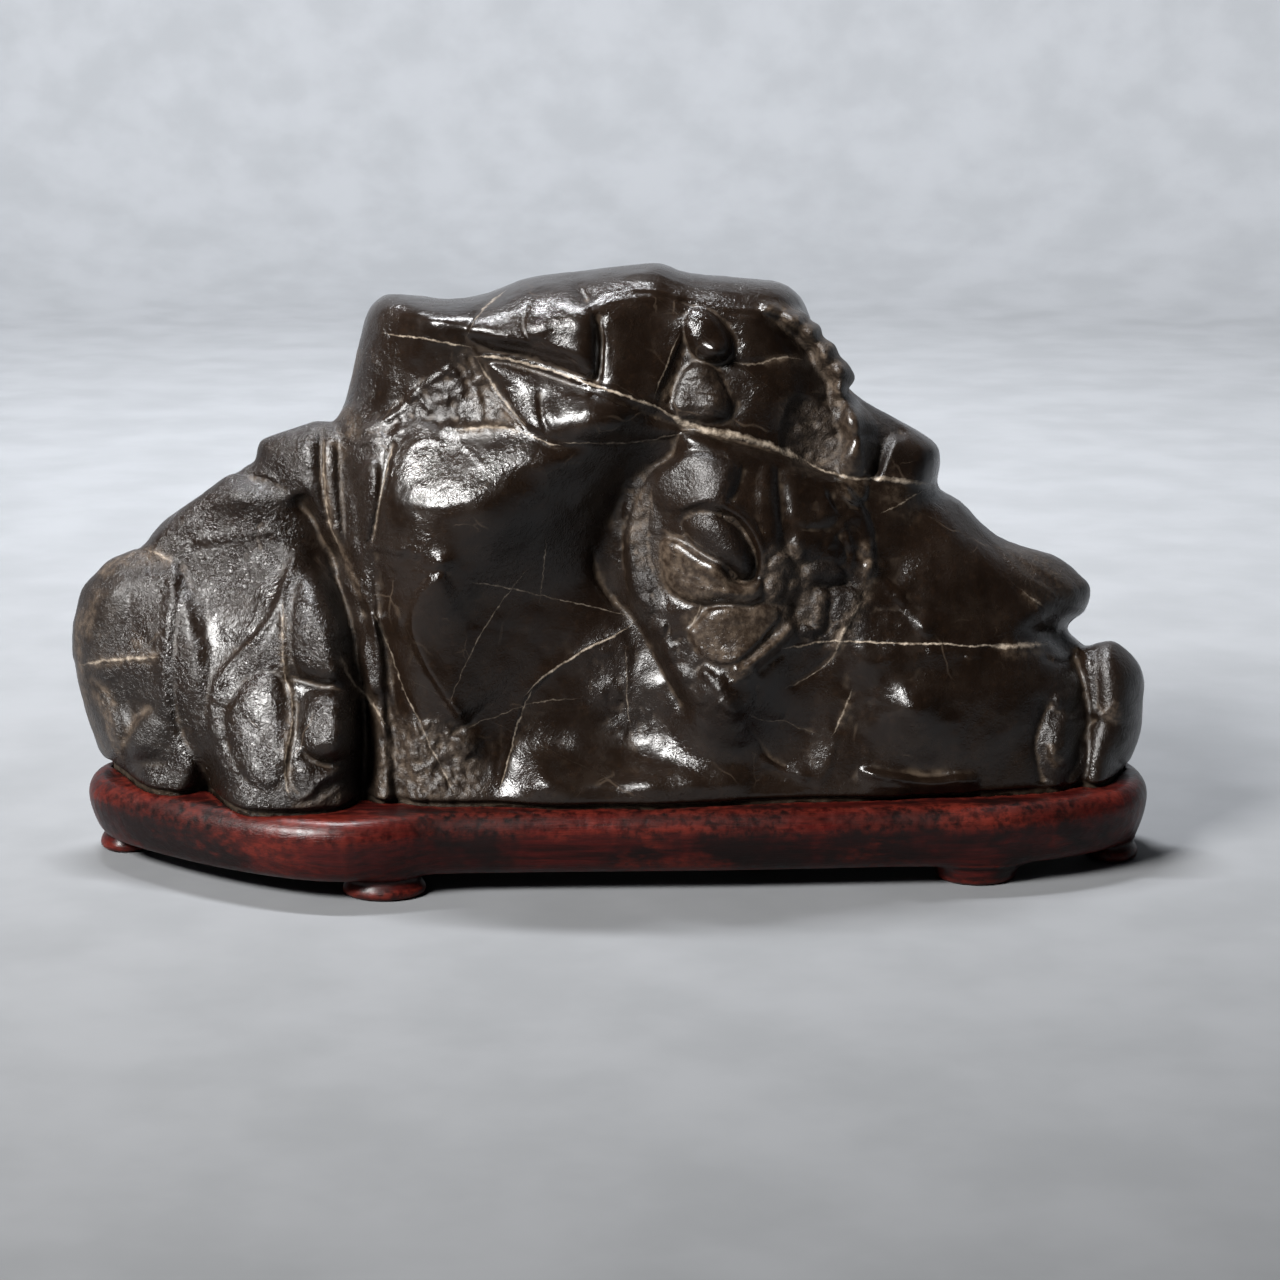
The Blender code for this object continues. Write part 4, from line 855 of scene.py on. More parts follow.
    # ---- brow, arris and facets of the main face
    r.swell(470, 500, 40, 24, 1.0, -8)
    r.swell(552, 462, 34, 12, 1.6, -6)
    r.line([(404, 462), (412, 446), (428, 440), (446, 444)], 2.2, 0.5)
    r.line([(455, 432), (462, 445), (474, 456), (488, 470)], 1.5, 0.4)
    r.line([(412, 504), (430, 507), (450, 506), (466, 502)], 1.4, 0.25)
    arris = [(446, 572), (434, 579), (422, 590), (414, 606), (411, 624), (414, 640), (424, 662),
             (436, 682), (448, 700), (458, 714), (466, 724)]
    r.ledge(arris, 30, 2.0, 0.06, 1.8)
    r.line(arris, 3.0, 0.9, 0.06)
    r.swell(442, 562, 11, 9, 2.0)
    r.line([(362, 546), (378, 548), (396, 551), (412, 545)], 2.6, 1.0)
    r.line([(360, 538), (374, 540), (392, 546)], 2.0, 0.6)
    r.grain([(362, 530), (400, 528), (440, 545), (444, 575), (416, 590), (380, 575), (362, 560)],
            8, 7, 0.7, 0, 83, 8)
    r.swell(390, 618, 15, 18, 2.4)
    r.swell(394, 650, 8, 12, 0.8, -20)
    r.line([(376, 590), (390, 596), (398, 612), (396, 630), (386, 634)], 2.0, 0.4)
    r.line([(372, 610), (382, 634), (394, 660), (402, 686), (412, 706), (424, 732), (438, 760),
            (450, 784), (458, 800)], 1.6, -0.6, 0.05)
    r.line([(383, 686), (394, 686), (402, 686)], 1.2, 0.25)
    r.line([(450, 702), (456, 709), (461, 718)], 3.0, 1.0)
    r.swell(466, 746, 14, 12, 2.4, -20)
    r.crease([(444, 722), (456, 728), (468, 726), (478, 722)], 2.2, 0.9)
    r.grain([(376, 722), (396, 716), (430, 715), (470, 730), (480, 760), (478, 800), (430, 806),
             (380, 806)], 4, 7, 1.5, -12, 89, 8, 4)
    r.grain([(400, 720), (466, 724), (476, 770), (440, 800), (404, 790)], 9, 9, 0.7, 0, 97, 8, 3)

    # ---- long thin vein over the main face and its companions
    r.line([(630, 626), (616, 634), (600, 642), (580, 653), (560, 665), (544, 677), (532, 690)],
           1.6, 0.4, 0.05)
    r.line([(528, 694), (522, 712), (516, 734), (508, 762), (500, 790)], 1.4, -0.3, 0.05)
    r.ledge([(500, 792), (508, 762), (516, 734), (524, 704), (534, 688), (556, 668)], 26, 0.7, 0.1)
    r.swell(540, 774, 18, 20, 2.8, -14)
    r.line([(498, 740), (494, 760), (491, 778)], 2.2, 0.35)
    r.swell(600, 648, 22, 14, 0.8)
    r.swell(612, 690, 16, 14, 0.8)
    r.line([(594, 682), (600, 692), (608, 704)], 1.8, 0.5)
    r.line([(608, 680), (616, 690), (624, 702)], 1.8, 0.5)
    r.line([(626, 655), (627, 680), (628, 706), (630, 726)], 1.6, 0.4)
    r.line([(640, 700), (648, 714), (652, 730)], 1.6, 0.4)
    r.grain([(575, 640), (640, 620), (656, 670), (668, 730), (640, 750), (600, 730), (580, 690)],
            7, 11, 0.45, 10, 101, 14)
    r.swell(650, 745, 26, 20, 0.5)

    # ---- bottom lip
    r.line([(500, 788), (560, 790), (610, 788), (660, 787), (710, 788), (750, 792)], 12, 1.5, 0.15)
    for u, h in ((560, 0.7), (604, 0.9), (652, 0.8), (690, 1.0), (728, 0.8)):
        r.swell(u, 783, 17, 9, h)
    r.line([(640, 766), (660, 774), (690, 774)], 3, 0.5)

    # ---- right flank and haunch
    r.line([(882, 582), (896, 594), (908, 608), (920, 624), (930, 640)], 5.0, 0.8)
    r.swell(927, 622, 10, 15, 1.2, -10)
    r.grain([(880, 578), (900, 588), (915, 610), (900, 612), (884, 596)], 4, 6, 0.5, 30, 103, 5)
    r.line([(842, 641), (870, 642), (900, 643), (940, 644), (980, 645), (1008, 643)], 1.4, 0.35, 0.04)
    r.line([(1000, 650), (1020, 647), (1044, 646)], 4.0, 0.8)
    r.ledge([(842, 644), (900, 646), (960, 648), (1040, 652)], 16, -0.7, 0.08)
    r.swell(914, 712, 28, 26, 4.0, 20)
    r.swell(930, 652, 8, 8, 0.5)
    r.crease([(864, 700), (880, 706), (900, 708)], 1.6, 0.3)
    lip2 = [(858, 772), (876, 775), (900, 779), (930, 783), (958, 780), (980, 782)]
    r.line(lip2, 4.4, 2.0, 0.12)
    r.swell(914, 800, 60, 16, 1.4, 2)
    for u, h in ((880, 0.8), (906, 0.9), (934, 0.9), (958, 0.7)):
        r.swell(u, 784, 14, 8, h)
    r.ledge([(980, 780), (958, 777), (930, 779), (900, 775), (876, 771), (858, 768)], 14, 0.9, 0.1)
    r.line([(870, 785), (900, 788), (940, 788), (970, 786)], 3, 0.5)
    r.swell(1010, 760, 16, 20, -1.0)
    r.crease([(1052, 700), (1042, 720), (1036, 745), (1040, 770), (1046, 790)], 4.5, 2.6, 0.08)
    r.pillow([(1050, 726), (1062, 712), (1074, 714), (1078, 735), (1074, 756), (1060, 768),
              (1048, 760), (1046, 742)], 1.3, 12, 0.75)
    r.line([(1052, 742), (1052, 756), (1060, 764)], 2.4, 0.8)
    r.crease([(1084, 690), (1078, 706), (1068, 716)], 2.4, 1.2)
    r.dome(1066, 700, 14, 10, 1.3, -30, 0.6)
    r.grain([(1040, 695), (1080, 690), (1084, 740), (1070, 775), (1040, 770), (1034, 730)],
            7, 8, 0.7, 0, 107, 6)
    r.grain([(1030, 642), (1090, 645), (1094, 662), (1050, 668), (1030, 656)], 14, 4, 0.6, -12, 109, 5)
    r.crease([(1040, 655), (1062, 664), (1082, 656), (1096, 648)], 2.4, 1.2)
    r.crease([(1030, 648), (1056, 652), (1078, 646)], 2.0, 0.7)
    r.line([(1022, 592), (1034, 602), (1040, 614), (1043, 632)], 2.0, 0.5)
    r.crease([(1088, 624), (1070, 630), (1048, 640)], 3.0, 1.6)
    for k in range(4):
        r.line([(1000 + 6 * k, 545 + 4 * k), (1030 + 4 * k, 556 + 5 * k), (1062 + 2 * k, 574 + 5 * k),
                (1080, 592 + 3 * k)], 1.8, 0.65)
    r.line([(944, 492), (962, 508), (984, 532), (1004, 552), (1022, 574), (1044, 588), (1062, 604)],
           2.4, 0.8, 0.05)

    # ---- right knob
    r.crease([(1096, 646), (1095, 668), (1097, 692), (1096, 712)], 3.6, 2.0, 0.06)
    r.crease([(1100, 718), (1090, 724), (1082, 736), (1079, 756), (1072, 772), (1062, 788)], 3.2, 2.4, 0.06)
    r.pillow([(1101, 650), (1114, 644), (1128, 656), (1138, 676), (1140, 700), (1134, 724),
              (1118, 722), (1102, 714), (1099, 684)], 1.2, 15, 0.8)
    r.crease([(1101, 717), (1114, 724), (1128, 726), (1138, 722)], 2.4, 1.0)
    r.line([(1104, 716), (1110, 708), (1118, 704), (1117, 716)], 1.8, 0.5)
    r.line([(1081, 738), (1084, 755), (1081, 771), (1073, 784), (1064, 792)], 3.2, 1.6, 0.08)
    r.dome(1128, 748, 10, 14, 1.2, 20, 0.6)
    r.crease([(1136, 742), (1124, 752), (1116, 768)], 2.2, 1.2)
    return r


def display_tints():
    """Where the display side is tan (on the tail's top band partly a painted reflection), where it is rough and
    unpolished.
    """
    tan = Tint(U0, U1, V0, V1, 1.0)
    tan.brush([(84, 666), (120, 660), (157, 657)], 5, 0.8)
    tan.brush([(147, 549), (160, 556), (172, 563)], 5, 0.8)
    tan.brush([(96, 575), (118, 562), (142, 556), (160, 560)], 7, 0.6)
    tan.brush([(84, 600), (78, 640), (82, 690), (96, 735), (116, 768)], 5, 0.5)
    tan.brush([(92, 690), (106, 712), (112, 738), (124, 760)], 5, 0.7)
    tan.brush([(152, 706), (138, 716), (130, 728), (124, 744), (118, 764)], 4, 0.6)
    tan.brush([(88, 676), (104, 690), (116, 712)], 4, 0.6)
    tan.brush([(100, 588), (90, 612), (86, 640)], 6, 0.5)
    tan.brush([(132, 640), (144, 652), (160, 656)], 4, 0.5)
    tan.patch([(78, 610), (96, 576), (124, 562), (118, 600), (106, 640), (82, 655)], 0.08, 14)
    # tail's striped top band: a faint tan tint, partly dust and partly a painted reflection of the pale wall on
    # that grazing face
    tan.patch([(1000, 546), (1060, 560), (1086, 590), (1060, 604), (1030, 580)], 0.16, 12)
    tan.brush([(340, 398), (350, 370), (358, 348)], 6, 0.5)
    tan.brush([(341, 410), (352, 420), (350, 440)], 7, 0.5)
    tan.brush([(328, 440), (340, 445), (345, 456)], 5, 0.5)
    tan.brush([(327, 440), (326, 480), (331, 522), (345, 558), (362, 600)], 3.5, 0.6)
    tan.brush([(343, 655), (352, 680), (372, 704), (385, 726)], 5, 0.75)
    tan.brush([(283, 610), (284, 672), (292, 700), (287, 750), (290, 800)], 3.2, 0.7)
    tan.patch([(376, 725), (398, 720), (440, 724), (474, 745), (480, 800), (420, 806), (378, 806)], 0.3, 16)
    tan.brush([(384, 740), (381, 770), (384, 802)], 6, 0.65)
    tan.brush([(396, 760), (420, 780), (440, 802)], 7, 0.5)
    tan.brush([(430, 738), (448, 760), (458, 790)], 6, 0.4)
    tan.patch([(300, 800), (340, 790), (368, 800), (362, 816), (300, 815)], 0.4, 10)
    tan.patch([(462, 352), (474, 350), (496, 385), (505, 410), (488, 424), (470, 398)], 0.25, 10)
    tan.brush([(500, 403), (510, 416), (520, 430)], 6, 0.8)
    tan.brush([(455, 430), (480, 429), (500, 427), (522, 431)], 5, 0.7)
    tan.patch([(658, 398), (680, 372), (712, 368), (730, 400), (726, 420), (690, 420), (664, 410)], 0.08, 10)
    tan.brush([(660, 402), (668, 388), (678, 374)], 4, 0.5)
    tan.patch([(760, 305), (800, 312), (850, 350), (856, 400), (836, 412), (822, 380), (795, 340)], 0.5, 10)
    tan.brush([(770, 314), (800, 328), (818, 345), (830, 375), (836, 402)], 6, 0.75)
    tan.brush([(764, 362), (784, 359), (798, 357)], 4, 0.6)
    tan.patch([(784, 402), (826, 404), (846, 445), (830, 470), (796, 468)], 0.3, 14)
    tan.patch([(840, 405), (872, 412), (878, 455), (862, 500), (842, 500), (836, 460)], 0.3, 10)
    tan.brush([(642, 486), (640, 512), (640, 540), (646, 570)], 7, 0.45)
    tan.brush([(634, 520), (632, 545)], 4, 0.6)
    tan.patch([(658, 540), (690, 545), (735, 582), (764, 585), (760, 604), (700, 606), (664, 590)], 0.5, 8)
    tan.patch([(690, 612), (765, 604), (782, 612), (745, 656), (706, 658), (688, 632)], 0.48, 8)
    tan.brush([(795, 620), (772, 646), (745, 668), (730, 678)], 7, 0.75)
    tan.patch([(766, 556), (800, 548), (812, 590), (800, 620), (768, 604)], 0.5, 10)
    tan.brush([(820, 590), (818, 625)], 6, 0.8)
    tan.brush([(864, 540), (870, 570), (864, 596), (850, 618), (838, 640), (834, 656)], 6, 0.85)
    tan.brush([(850, 700), (840, 726)], 4, 0.5)
    tan.patch([(1102, 706), (1118, 703), (1120, 722), (1106, 722)], 0.6, 6)
    tan.brush([(1000, 650), (1044, 648)], 7, 0.6)
    tan.brush([(1050, 742), (1054, 762), (1066, 760)], 4, 0.5)
    tan.brush([(1022, 592), (1040, 606)], 5, 0.4)
    tan.brush([(880, 490), (905, 498), (900, 520)], 14, 0.25)

    rough = Tint(U0, U1, V0, V1, 1.0)
    rough.patch([(72, 610), (92, 570), (140, 556), (128, 600), (120, 655), (80, 665)], 0.36, 14)
    rough.patch([(960, 505), (1010, 538), (1070, 560), (1092, 592), (1060, 612), (1010, 575)], 0.5, 12)
    rough.patch([(686, 520), (716, 512), (746, 534), (756, 566), (744, 580), (712, 560)], 0.5, 6)
    rough.patch([(660, 470), (700, 450), (738, 462), (728, 500), (690, 510), (656, 512)], 0.42, 8)
    rough.patch([(652, 600), (700, 660), (744, 712), (712, 722), (676, 690), (646, 640)], 0.35, 10)
    rough.patch([(78, 672), (120, 668), (158, 690), (165, 740), (140, 776), (112, 768), (86, 730)], 0.36, 12)
    rough.patch([(376, 720), (470, 730), (480, 806), (376, 806)], 0.5, 14)
    rough.patch([(285, 790), (370, 765), (372, 818), (290, 815)], 0.6, 12)
    rough.patch([(400, 412), (446, 364), (468, 348), (510, 405), (500, 434), (430, 432)], 0.3, 12)
    rough.patch([(780, 400), (830, 405), (846, 445), (836, 470), (790, 466)], 0.8, 12)
    rough.patch([(766, 308), (852, 350), (852, 410), (824, 410), (800, 345)], 0.6, 10)
    rough.patch([(764, 548), (806, 545), (866, 585), (860, 640), (800, 640), (766, 606)], 0.65, 12)
    rough.patch([(624, 480), (654, 470), (660, 600), (636, 616)], 0.75, 8)
    rough.patch([(676, 372), (712, 366), (732, 400), (726, 422), (680, 416)], 0.35, 8)
    rough.patch([(862, 400), (900, 425), (884, 470), (866, 470)], 0.7, 10)
    rough.patch([(1036, 690), (1084, 690), (1080, 775), (1036, 775)], 0.5, 10)
    rough.patch([(1096, 640), (1124, 644), (1144, 700), (1130, 760), (1100, 770), (1090, 700)], 0.4, 10)
    rough.patch([(320, 560), (345, 560), (382, 640), (396, 760), (370, 760), (350, 660)], 0.35, 10)
    rough.patch([(575, 640), (640, 620), (660, 730), (600, 730)], 0.25, 18)
    return tan, rough


# -------------------------------------------------- the back, form by form
def rear_coordinates(x, z):
    """The rear elevation's coordinates, in the display side's units."""
    return CENTRE + x / UNIT, 864.0 - z / UNIT


def rear_side():
    r = Relief(U0, U1, V0, V1, 1.0)
    # broad bosses
    for u, v, a, b, h, t in ((450, 450, 78, 84, 4.2, 12), (455, 670, 76, 92, 3.6, -8),
                             (690, 385, 84, 66, 4.0, 18), (720, 600, 74, 96, 3.4, -16),
                             (860, 560, 44, 76, 3.2, 10), (1000, 700, 62, 48, 3.0, 8),
                             (255, 600, 46, 78, 3.4, -10), (140, 650, 34, 62, 2.4, 6),
                             (590, 720, 50, 60, 2.6, 0), (840, 720, 56, 46, 2.4, -12),
                             (560, 330, 46, 34, 2.4, 14), (300, 730, 44, 52, 2.6, 0)):
        r.swell(u, v, a, b, h, t)
    # folds between them
    r.crease([(583, 276), (592, 340), (572, 420), (596, 500), (604, 560), (574, 640), (560, 700),
              (574, 790)], 5.0, 5.5, 0.04)
    r.crease([(596, 500), (640, 492), (690, 500), (760, 486), (820, 470), (880, 476), (940, 486)],
             4.6, 4.6, 0.05)
    r.crease([(330, 430), (348, 520), (332, 620), (354, 700), (346, 800)], 5.0, 5.0, 0.04)
    r.crease([(348, 560), (400, 574), (470, 560), (540, 574), (598, 560)], 4.2, 3.4, 0.08)
    r.crease([(178, 516), (196, 600), (182, 700), (202, 790)], 4.6, 4.4, 0.05)
    r.crease([(196, 620), (240, 690), (300, 680), (342, 690)], 3.8, 2.6, 0.1)
    r.crease([(76, 660), (120, 672), (184, 664)], 3.4, 2.0, 0.1)
    r.crease([(936, 486), (906, 560), (928, 640), (912, 720), (930, 792)], 4.8, 4.4, 0.04)
    r.crease([(926, 640), (980, 646), (1040, 640), (1092, 650)], 4.0, 3.4, 0.06)
    r.crease([(1096, 646), (1086, 700), (1092, 740), (1078, 790)], 4.4, 3.6, 0.05)
    r.crease([(796, 300), (776, 350), (800, 400), (784, 450), (792, 484)], 4.2, 3.4, 0.06)
    r.crease([(640, 500), (652, 580), (640, 650), (664, 720), (650, 790)], 3.6, 2.6, 0.08)
    r.crease([(790, 490), (806, 560), (788, 640), (800, 700), (780, 780)], 4.0, 3.2, 0.06)
    r.crease([(440, 300), (452, 340), (436, 392), (404, 430), (350, 440)], 3.8, 2.8, 0.08)
    # ridges that ride beside the folds
    r.line([(572, 300), (578, 350), (558, 420), (580, 500)], 5.0, 1.8)
    r.line([(612, 514), (690, 514), (760, 500), (830, 486), (900, 492)], 4.6, 1.4)
    r.line([(360, 450), (368, 520), (350, 610), (370, 690)], 4.4, 1.5)
    r.line([(190, 540), (208, 610), (196, 690), (214, 760)], 3.6, 1.2)
    r.line([(920, 510), (892, 570), (914, 640), (898, 710)], 4.0, 1.4)
    r.line([(488, 600), (500, 660), (484, 720), (500, 780)], 3.4, 1.0)
    r.line([(700, 520), (712, 580), (700, 660), (722, 740)], 3.4, 0.9)
    r.ledge([(380, 470), (430, 520), (500, 530), (560, 500)], 26, 1.6, 0.1)
    r.ledge([(880, 700), (830, 680), (770, 690), (700, 680)], 24, 1.4, 0.1)
    # a run of nodules and pits low in the fold
    for k, (u, v, a, b) in enumerate(((612, 560, 14, 12), (624, 582, 12, 14), (612, 604, 12, 10),
                                      (630, 620, 15, 12), (618, 642, 11, 12), (806, 520, 12, 15),
                                      (818, 546, 13, 11), (808, 572, 11, 13), (352, 640, 11, 15),
                                      (340, 668, 12, 11), (916, 600, 11, 14), (910, 628, 12, 11))):
        r.dome(u, v, a, b, 2.0, 20 * k, 0.55)
    for u, v, a, b in ((645, 545, 8, 12), (655, 606, 7, 10), (830, 590, 8, 12), (372, 590, 7, 10),
                       (520, 610, 8, 6), (700, 470, 7, 5), (970, 610, 8, 6)):
        r.swell(u, v, a, b, -2.0)
    # veins that stand slightly proud
    for points in REAR_VEINS:
        r.line(points, 2.4, 0.7, 0.05)
    r.grain([(598, 500), (660, 510), (668, 640), (650, 740), (590, 740), (566, 660)], 8, 10, 1.0,
            10, 131, 18)
    r.grain([(790, 490), (850, 500), (850, 620), (800, 650), (784, 560)], 8, 8, 0.9, 30, 137, 12)
    r.grain([(80, 560), (180, 540), (340, 600), (350, 780), (120, 780)], 18, 14, 0.7, -20, 139, 20)
    r.grain([(350, 440), (580, 440), (590, 780), (360, 790)], 26, 20, 0.7, 35, 149, 24)
    r.grain([(660, 300), (930, 470), (1080, 640), (1080, 780), (680, 780)], 26, 18, 0.7, -30, 151, 24)
    return r


REAR_VEINS = [
    [(478, 296), (520, 344), (584, 388), (650, 414), (716, 424), (792, 452), (866, 478), (934, 486)],
    [(1094, 646), (1020, 650), (940, 644), (860, 654), (790, 640), (716, 652), (650, 640)],
    [(84, 662), (130, 656), (186, 668), (250, 650), (330, 664)],
    [(330, 424), (380, 486), (440, 548), (520, 598), (560, 668), (566, 730)],
]


def rear_tints():
    tan = Tint(U0, U1, V0, V1, 1.0)
    rough = Tint(U0, U1, V0, V1, 1.0)
    vein = Tint(U0, U1, V0, V1, 1.0)
    tan.patch([(600, 540), (650, 550), (660, 650), (620, 680), (590, 620)], 0.6, 16)
    tan.patch([(796, 500), (836, 510), (836, 600), (800, 610)], 0.55, 14)
    tan.brush([(340, 560), (346, 640), (356, 720)], 10, 0.5)
    tan.brush([(914, 560), (922, 640), (914, 720)], 9, 0.5)
    tan.patch([(90, 690), (150, 700), (170, 770), (120, 770)], 0.4, 16)
    rough.patch([(596, 520), (664, 540), (664, 740), (580, 740)], 0.6, 20)
    rough.patch([(790, 490), (850, 500), (850, 620), (800, 650)], 0.6, 14)
    rough.patch([(84, 600), (150, 560), (180, 760), (110, 770)], 0.4, 20)
    for points in REAR_VEINS:
        vein.brush(points, 2.6, 1.0, 0.06)
    return tan, rough, vein


# --------------------------------------------------- the rock as one field
def prepare_forms(step=STEP):
    """Rasters of each form's outline distance, front depth and back depth (mm)."""
    U, V = np.meshgrid(np.arange(U0, U1 + step, step), np.arange(V0, V1 + step, step))
    made = []
    for form in FORMS.values():
        d = outline_distance(form["outline"], U, V) * UNIT
        soft = blur(d, 5.0 / step)
        near = np.clip(d / 6.0, 0, 1)
        d = d * (1 - near) + soft * near
        sides = []
        for side in (form["front"], form["back"], form["wf"]):
            sides.append(through(side, U, V) if isinstance(side, list)
                         else np.full(U.shape, float(side)))
        sides[2] = np.clip(sides[2], 6.0, 24.0)
        reach = [p[0] for p in form["outline"]]
        made.append((form, d, *sides, min(reach), max(reach)))
    return made


def forms_field(made, x, y, z, front_lift=None, rear_lift=None, step=STEP):
    """The blended forms, about a signed distance, positive inside."""
    u, v = to_drawing(x, y, z)
    lift = front_lift.at(u, v) if front_lift else 0.0
    rear = rear_lift.at(*rear_coordinates(x, z)) if rear_lift else 0.0
    u_low, u_high = u.min() - 70, u.max() + 70
    total = None
    for form, dist, front, back, shoulder, low, high in made:
        if high < u_low or low > u_high:
            continue
        d = look_up(dist, u, v, U0, V0, step)
        q = y - form["mid"]
        ahead = q < 0
        h = np.maximum(np.where(ahead, form["mid"] - look_up(front, u, v, U0, V0, step) + lift,
                                look_up(back, u, v, U0, V0, step) + rear - form["mid"]), 3.5)
        w = np.where(ahead, look_up(shoulder, u, v, U0, V0, step), form["wb"])
        p = form["p"]
        r = (np.maximum(0, 1 - d / w) ** p + (np.abs(q) / h) ** p) ** (1 / p)
        one = np.minimum(w, h) * (1 - r)
        total = one if total is None else soft_max(total, one, BLEND)
    if total is None:
        total = np.full(u.shape, -30.0)
    return total


class Plan:
    """The rock's base in plan, read from its forms just above the rim."""

    def __init__(self, made):
        X, Y = np.meshgrid(np.arange(-170, 171, 1.0), np.arange(-70, 71, 1.0))
        f = forms_field(made, X, Y, np.full(X.shape, ROCK_LIP + 1.2))
        gy, gx = np.gradient(f)
        f = f / np.maximum(np.hypot(gx, gy), 0.35)
        self.raster = blur(np.clip(f, -40, 40), 2.2) - BASE_INSET

    def at(self, x, y):
        return look_up(self.raster, x, y, -170.0, -70.0, 1.0)


def rock_field(made, plan, front_lift, rear_lift, x, y, z):
    body = forms_field(made, x, y, z, front_lift, rear_lift)
    fade = np.clip((z - 28) / 10, 0, 1)
    body = body + fade * (0.38 * fractal(x / 15, y / 15, z / 15, 5, 2)
                          + 0.13 * fractal(x / 4.6, y / 4.6, z / 4.6, 9, 2))
    body = -soft_max(-body, ROCK_LIP - z, 1.6)
    foot = plan.at(x, y)
    foot = -soft_max(-foot, ROCK_FOOT - z, 0.8)
    foot = np.minimum(foot, ROCK_LIP + 1.5 - z)
    return soft_max(body, foot, 1.0)


def sampled(field, lo, hi, cell, coarse=4):
    """Field values on a grid; away from the surface only their sign is kept."""
    blocks = np.ceil((np.asarray(hi) - lo) / (cell * coarse)).astype(int)
    n = blocks * coarse + 1
    big = cell * coarse
    cx, cy, cz = (lo[a] + big * np.arange(blocks[a] + 1) for a in range(3))
    rough = np.stack([field(*np.meshgrid(np.array([x]), cy, cz, indexing="ij"))[0] for x in cx])
    near = np.zeros(blocks, bool)
    for a in (0, 1):
        for b in (0, 1):
            for c in (0, 1):
                part = rough[a:blocks[0] + a, b:blocks[1] + b, c:blocks[2] + c]
                near |= np.abs(part) < 1.15 * big + 1.0
    values = np.full(n, -9.0, np.float32)
    low = rough[:-1, :-1, :-1]
    for a in range(blocks[0]):
        base = np.repeat(np.repeat(np.where(low[a] > 0, 9.0, -9.0), coarse, 0), coarse, 1)
        todo = np.repeat(np.repeat(near[a], coarse, 0), coarse, 1)
        wide = np.zeros((n[1], n[2]), bool)
        wide[:-1, :-1] = todo
        wide[1:, 1:] |= todo
        wide[:-1, 1:] |= todo
        wide[1:, :-1] |= todo
        j, k = np.nonzero(wide)
        for s in range(coarse + (a == blocks[0] - 1)):
            i = a * coarse + s
            values[i, :-1, :-1] = base
            if len(j):
                x = np.full(len(j), lo[0] + cell * i)
                values[i, j, k] = field(x, lo[1] + cell * j, lo[2] + cell * k)
    # the near blocks' far faces belong to the next slab as well
    for a in range(blocks[0] - 1):
        todo = np.repeat(np.repeat(near[a] & ~near[a + 1], coarse, 0), coarse, 1)
        wide = np.zeros((n[1], n[2]), bool)
        wide[:-1, :-1] = todo
        wide[1:, 1:] |= todo
        wide[:-1, 1:] |= todo
        wide[1:, :-1] |= todo
        j, k = np.nonzero(wide)
        if len(j):
            i = (a + 1) * coarse
            values[i, j, k] = field(np.full(len(j), lo[0] + cell * i), lo[1] + cell * j,
                                    lo[2] + cell * k)
    return values


# ------------------------------------------------------------ surface of a field
def net_surface(values, positions):
    """One quad net on the zero surface of values (positive inside).

    values is [i, j, k]; positions maps float grid coordinates to space.
    """
    inside = values > 0
    n0, n1, n2 = values.shape
    cell = np.zeros((n0 - 1, n1 - 1, n2 - 1), bool)
    count = np.zeros(cell.shape, np.int8)
    for a in (0, 1):
        for b in (0, 1):
            for c in (0, 1):
                count += inside[a:n0 - 1 + a, b:n1 - 1 + b, c:n2 - 1 + c]
    cell = (count > 0) & (count < 8)
    ids = np.full(cell.shape, -1, np.int64)
    at = np.argwhere(cell)
    ids[cell] = np.arange(len(at))
    i, j, k = at.T
    total = np.zeros((len(at), 3))
    hits = np.zeros(len(at))
    corners = [(a, b, c) for a in (0, 1) for b in (0, 1) for c in (0, 1)]
    for a in corners:
        for axis in range(3):
            if a[axis]:
                continue
            b = list(a)
            b[axis] = 1
            fa = values[i + a[0], j + a[1], k + a[2]]
            fb = values[i + b[0], j + b[1], k + b[2]]
            crossing = (fa > 0) != (fb > 0)
            t = np.where(crossing, fa / np.where(crossing, fa - fb, 1), 0)
            point = np.tile(np.array(a, float), (len(at), 1))
            point[:, axis] += t
            total[crossing] += point[crossing]
            hits += crossing
    coords = at + total / hits[:, None]
    quads = []
    for axis in range(3):
        one = [slice(None)] * 3
        two = [slice(None)] * 3
        one[axis] = slice(0, -1)
        two[axis] = slice(1, None)
        cross = inside[tuple(one)] != inside[tuple(two)]
        e = np.argwhere(cross)
        o1, o2 = (axis + 1) % 3, (axis + 2) % 3
        ok = (e[:, o1] > 0) & (e[:, o2] > 0) & (e[:, o1] < values.shape[o1] - 1) & (e[:, o2] < values.shape[o2] - 1)
        e = e[ok]
        start_in = inside[e[:, 0], e[:, 1], e[:, 2]]
        ring = []
        for s1, s2 in ((-1, -1), (0, -1), (0, 0), (-1, 0)):
            c = e.copy()
            c[:, o1] += s1
            c[:, o2] += s2
            ring.append(ids[c[:, 0], c[:, 1], c[:, 2]])
        ring = np.stack(ring, 1)
        ring[~start_in] = ring[~start_in][:, ::-1]
        quads.append(ring)
    return positions(coords), np.concatenate(quads)


def settle(values, fill):
    """Fills the sample points that would let two sheets of the net share an edge."""
    for _ in range(12):
        found = 0
        for axis in range(3):
            o1, o2 = (axis + 1) % 3, (axis + 2) % 3
            v = np.moveaxis(values, (o1, o2, axis), (0, 1, 2))
            a, b, c, d = v[:-1, :-1] > 0, v[1:, :-1] > 0, v[1:, 1:] > 0, v[:-1, 1:] > 0
            mixed = (a == c) & (b == d) & (a != b)
            for i, j, k in np.argwhere(mixed):
                found += 1
                for s, t in ((0, 0), (1, 0), (1, 1), (0, 1)):
                    if v[i + s, j + t, k] <= 0:
                        v[i + s, j + t, k] = fill
        if not found:
            break
    return values


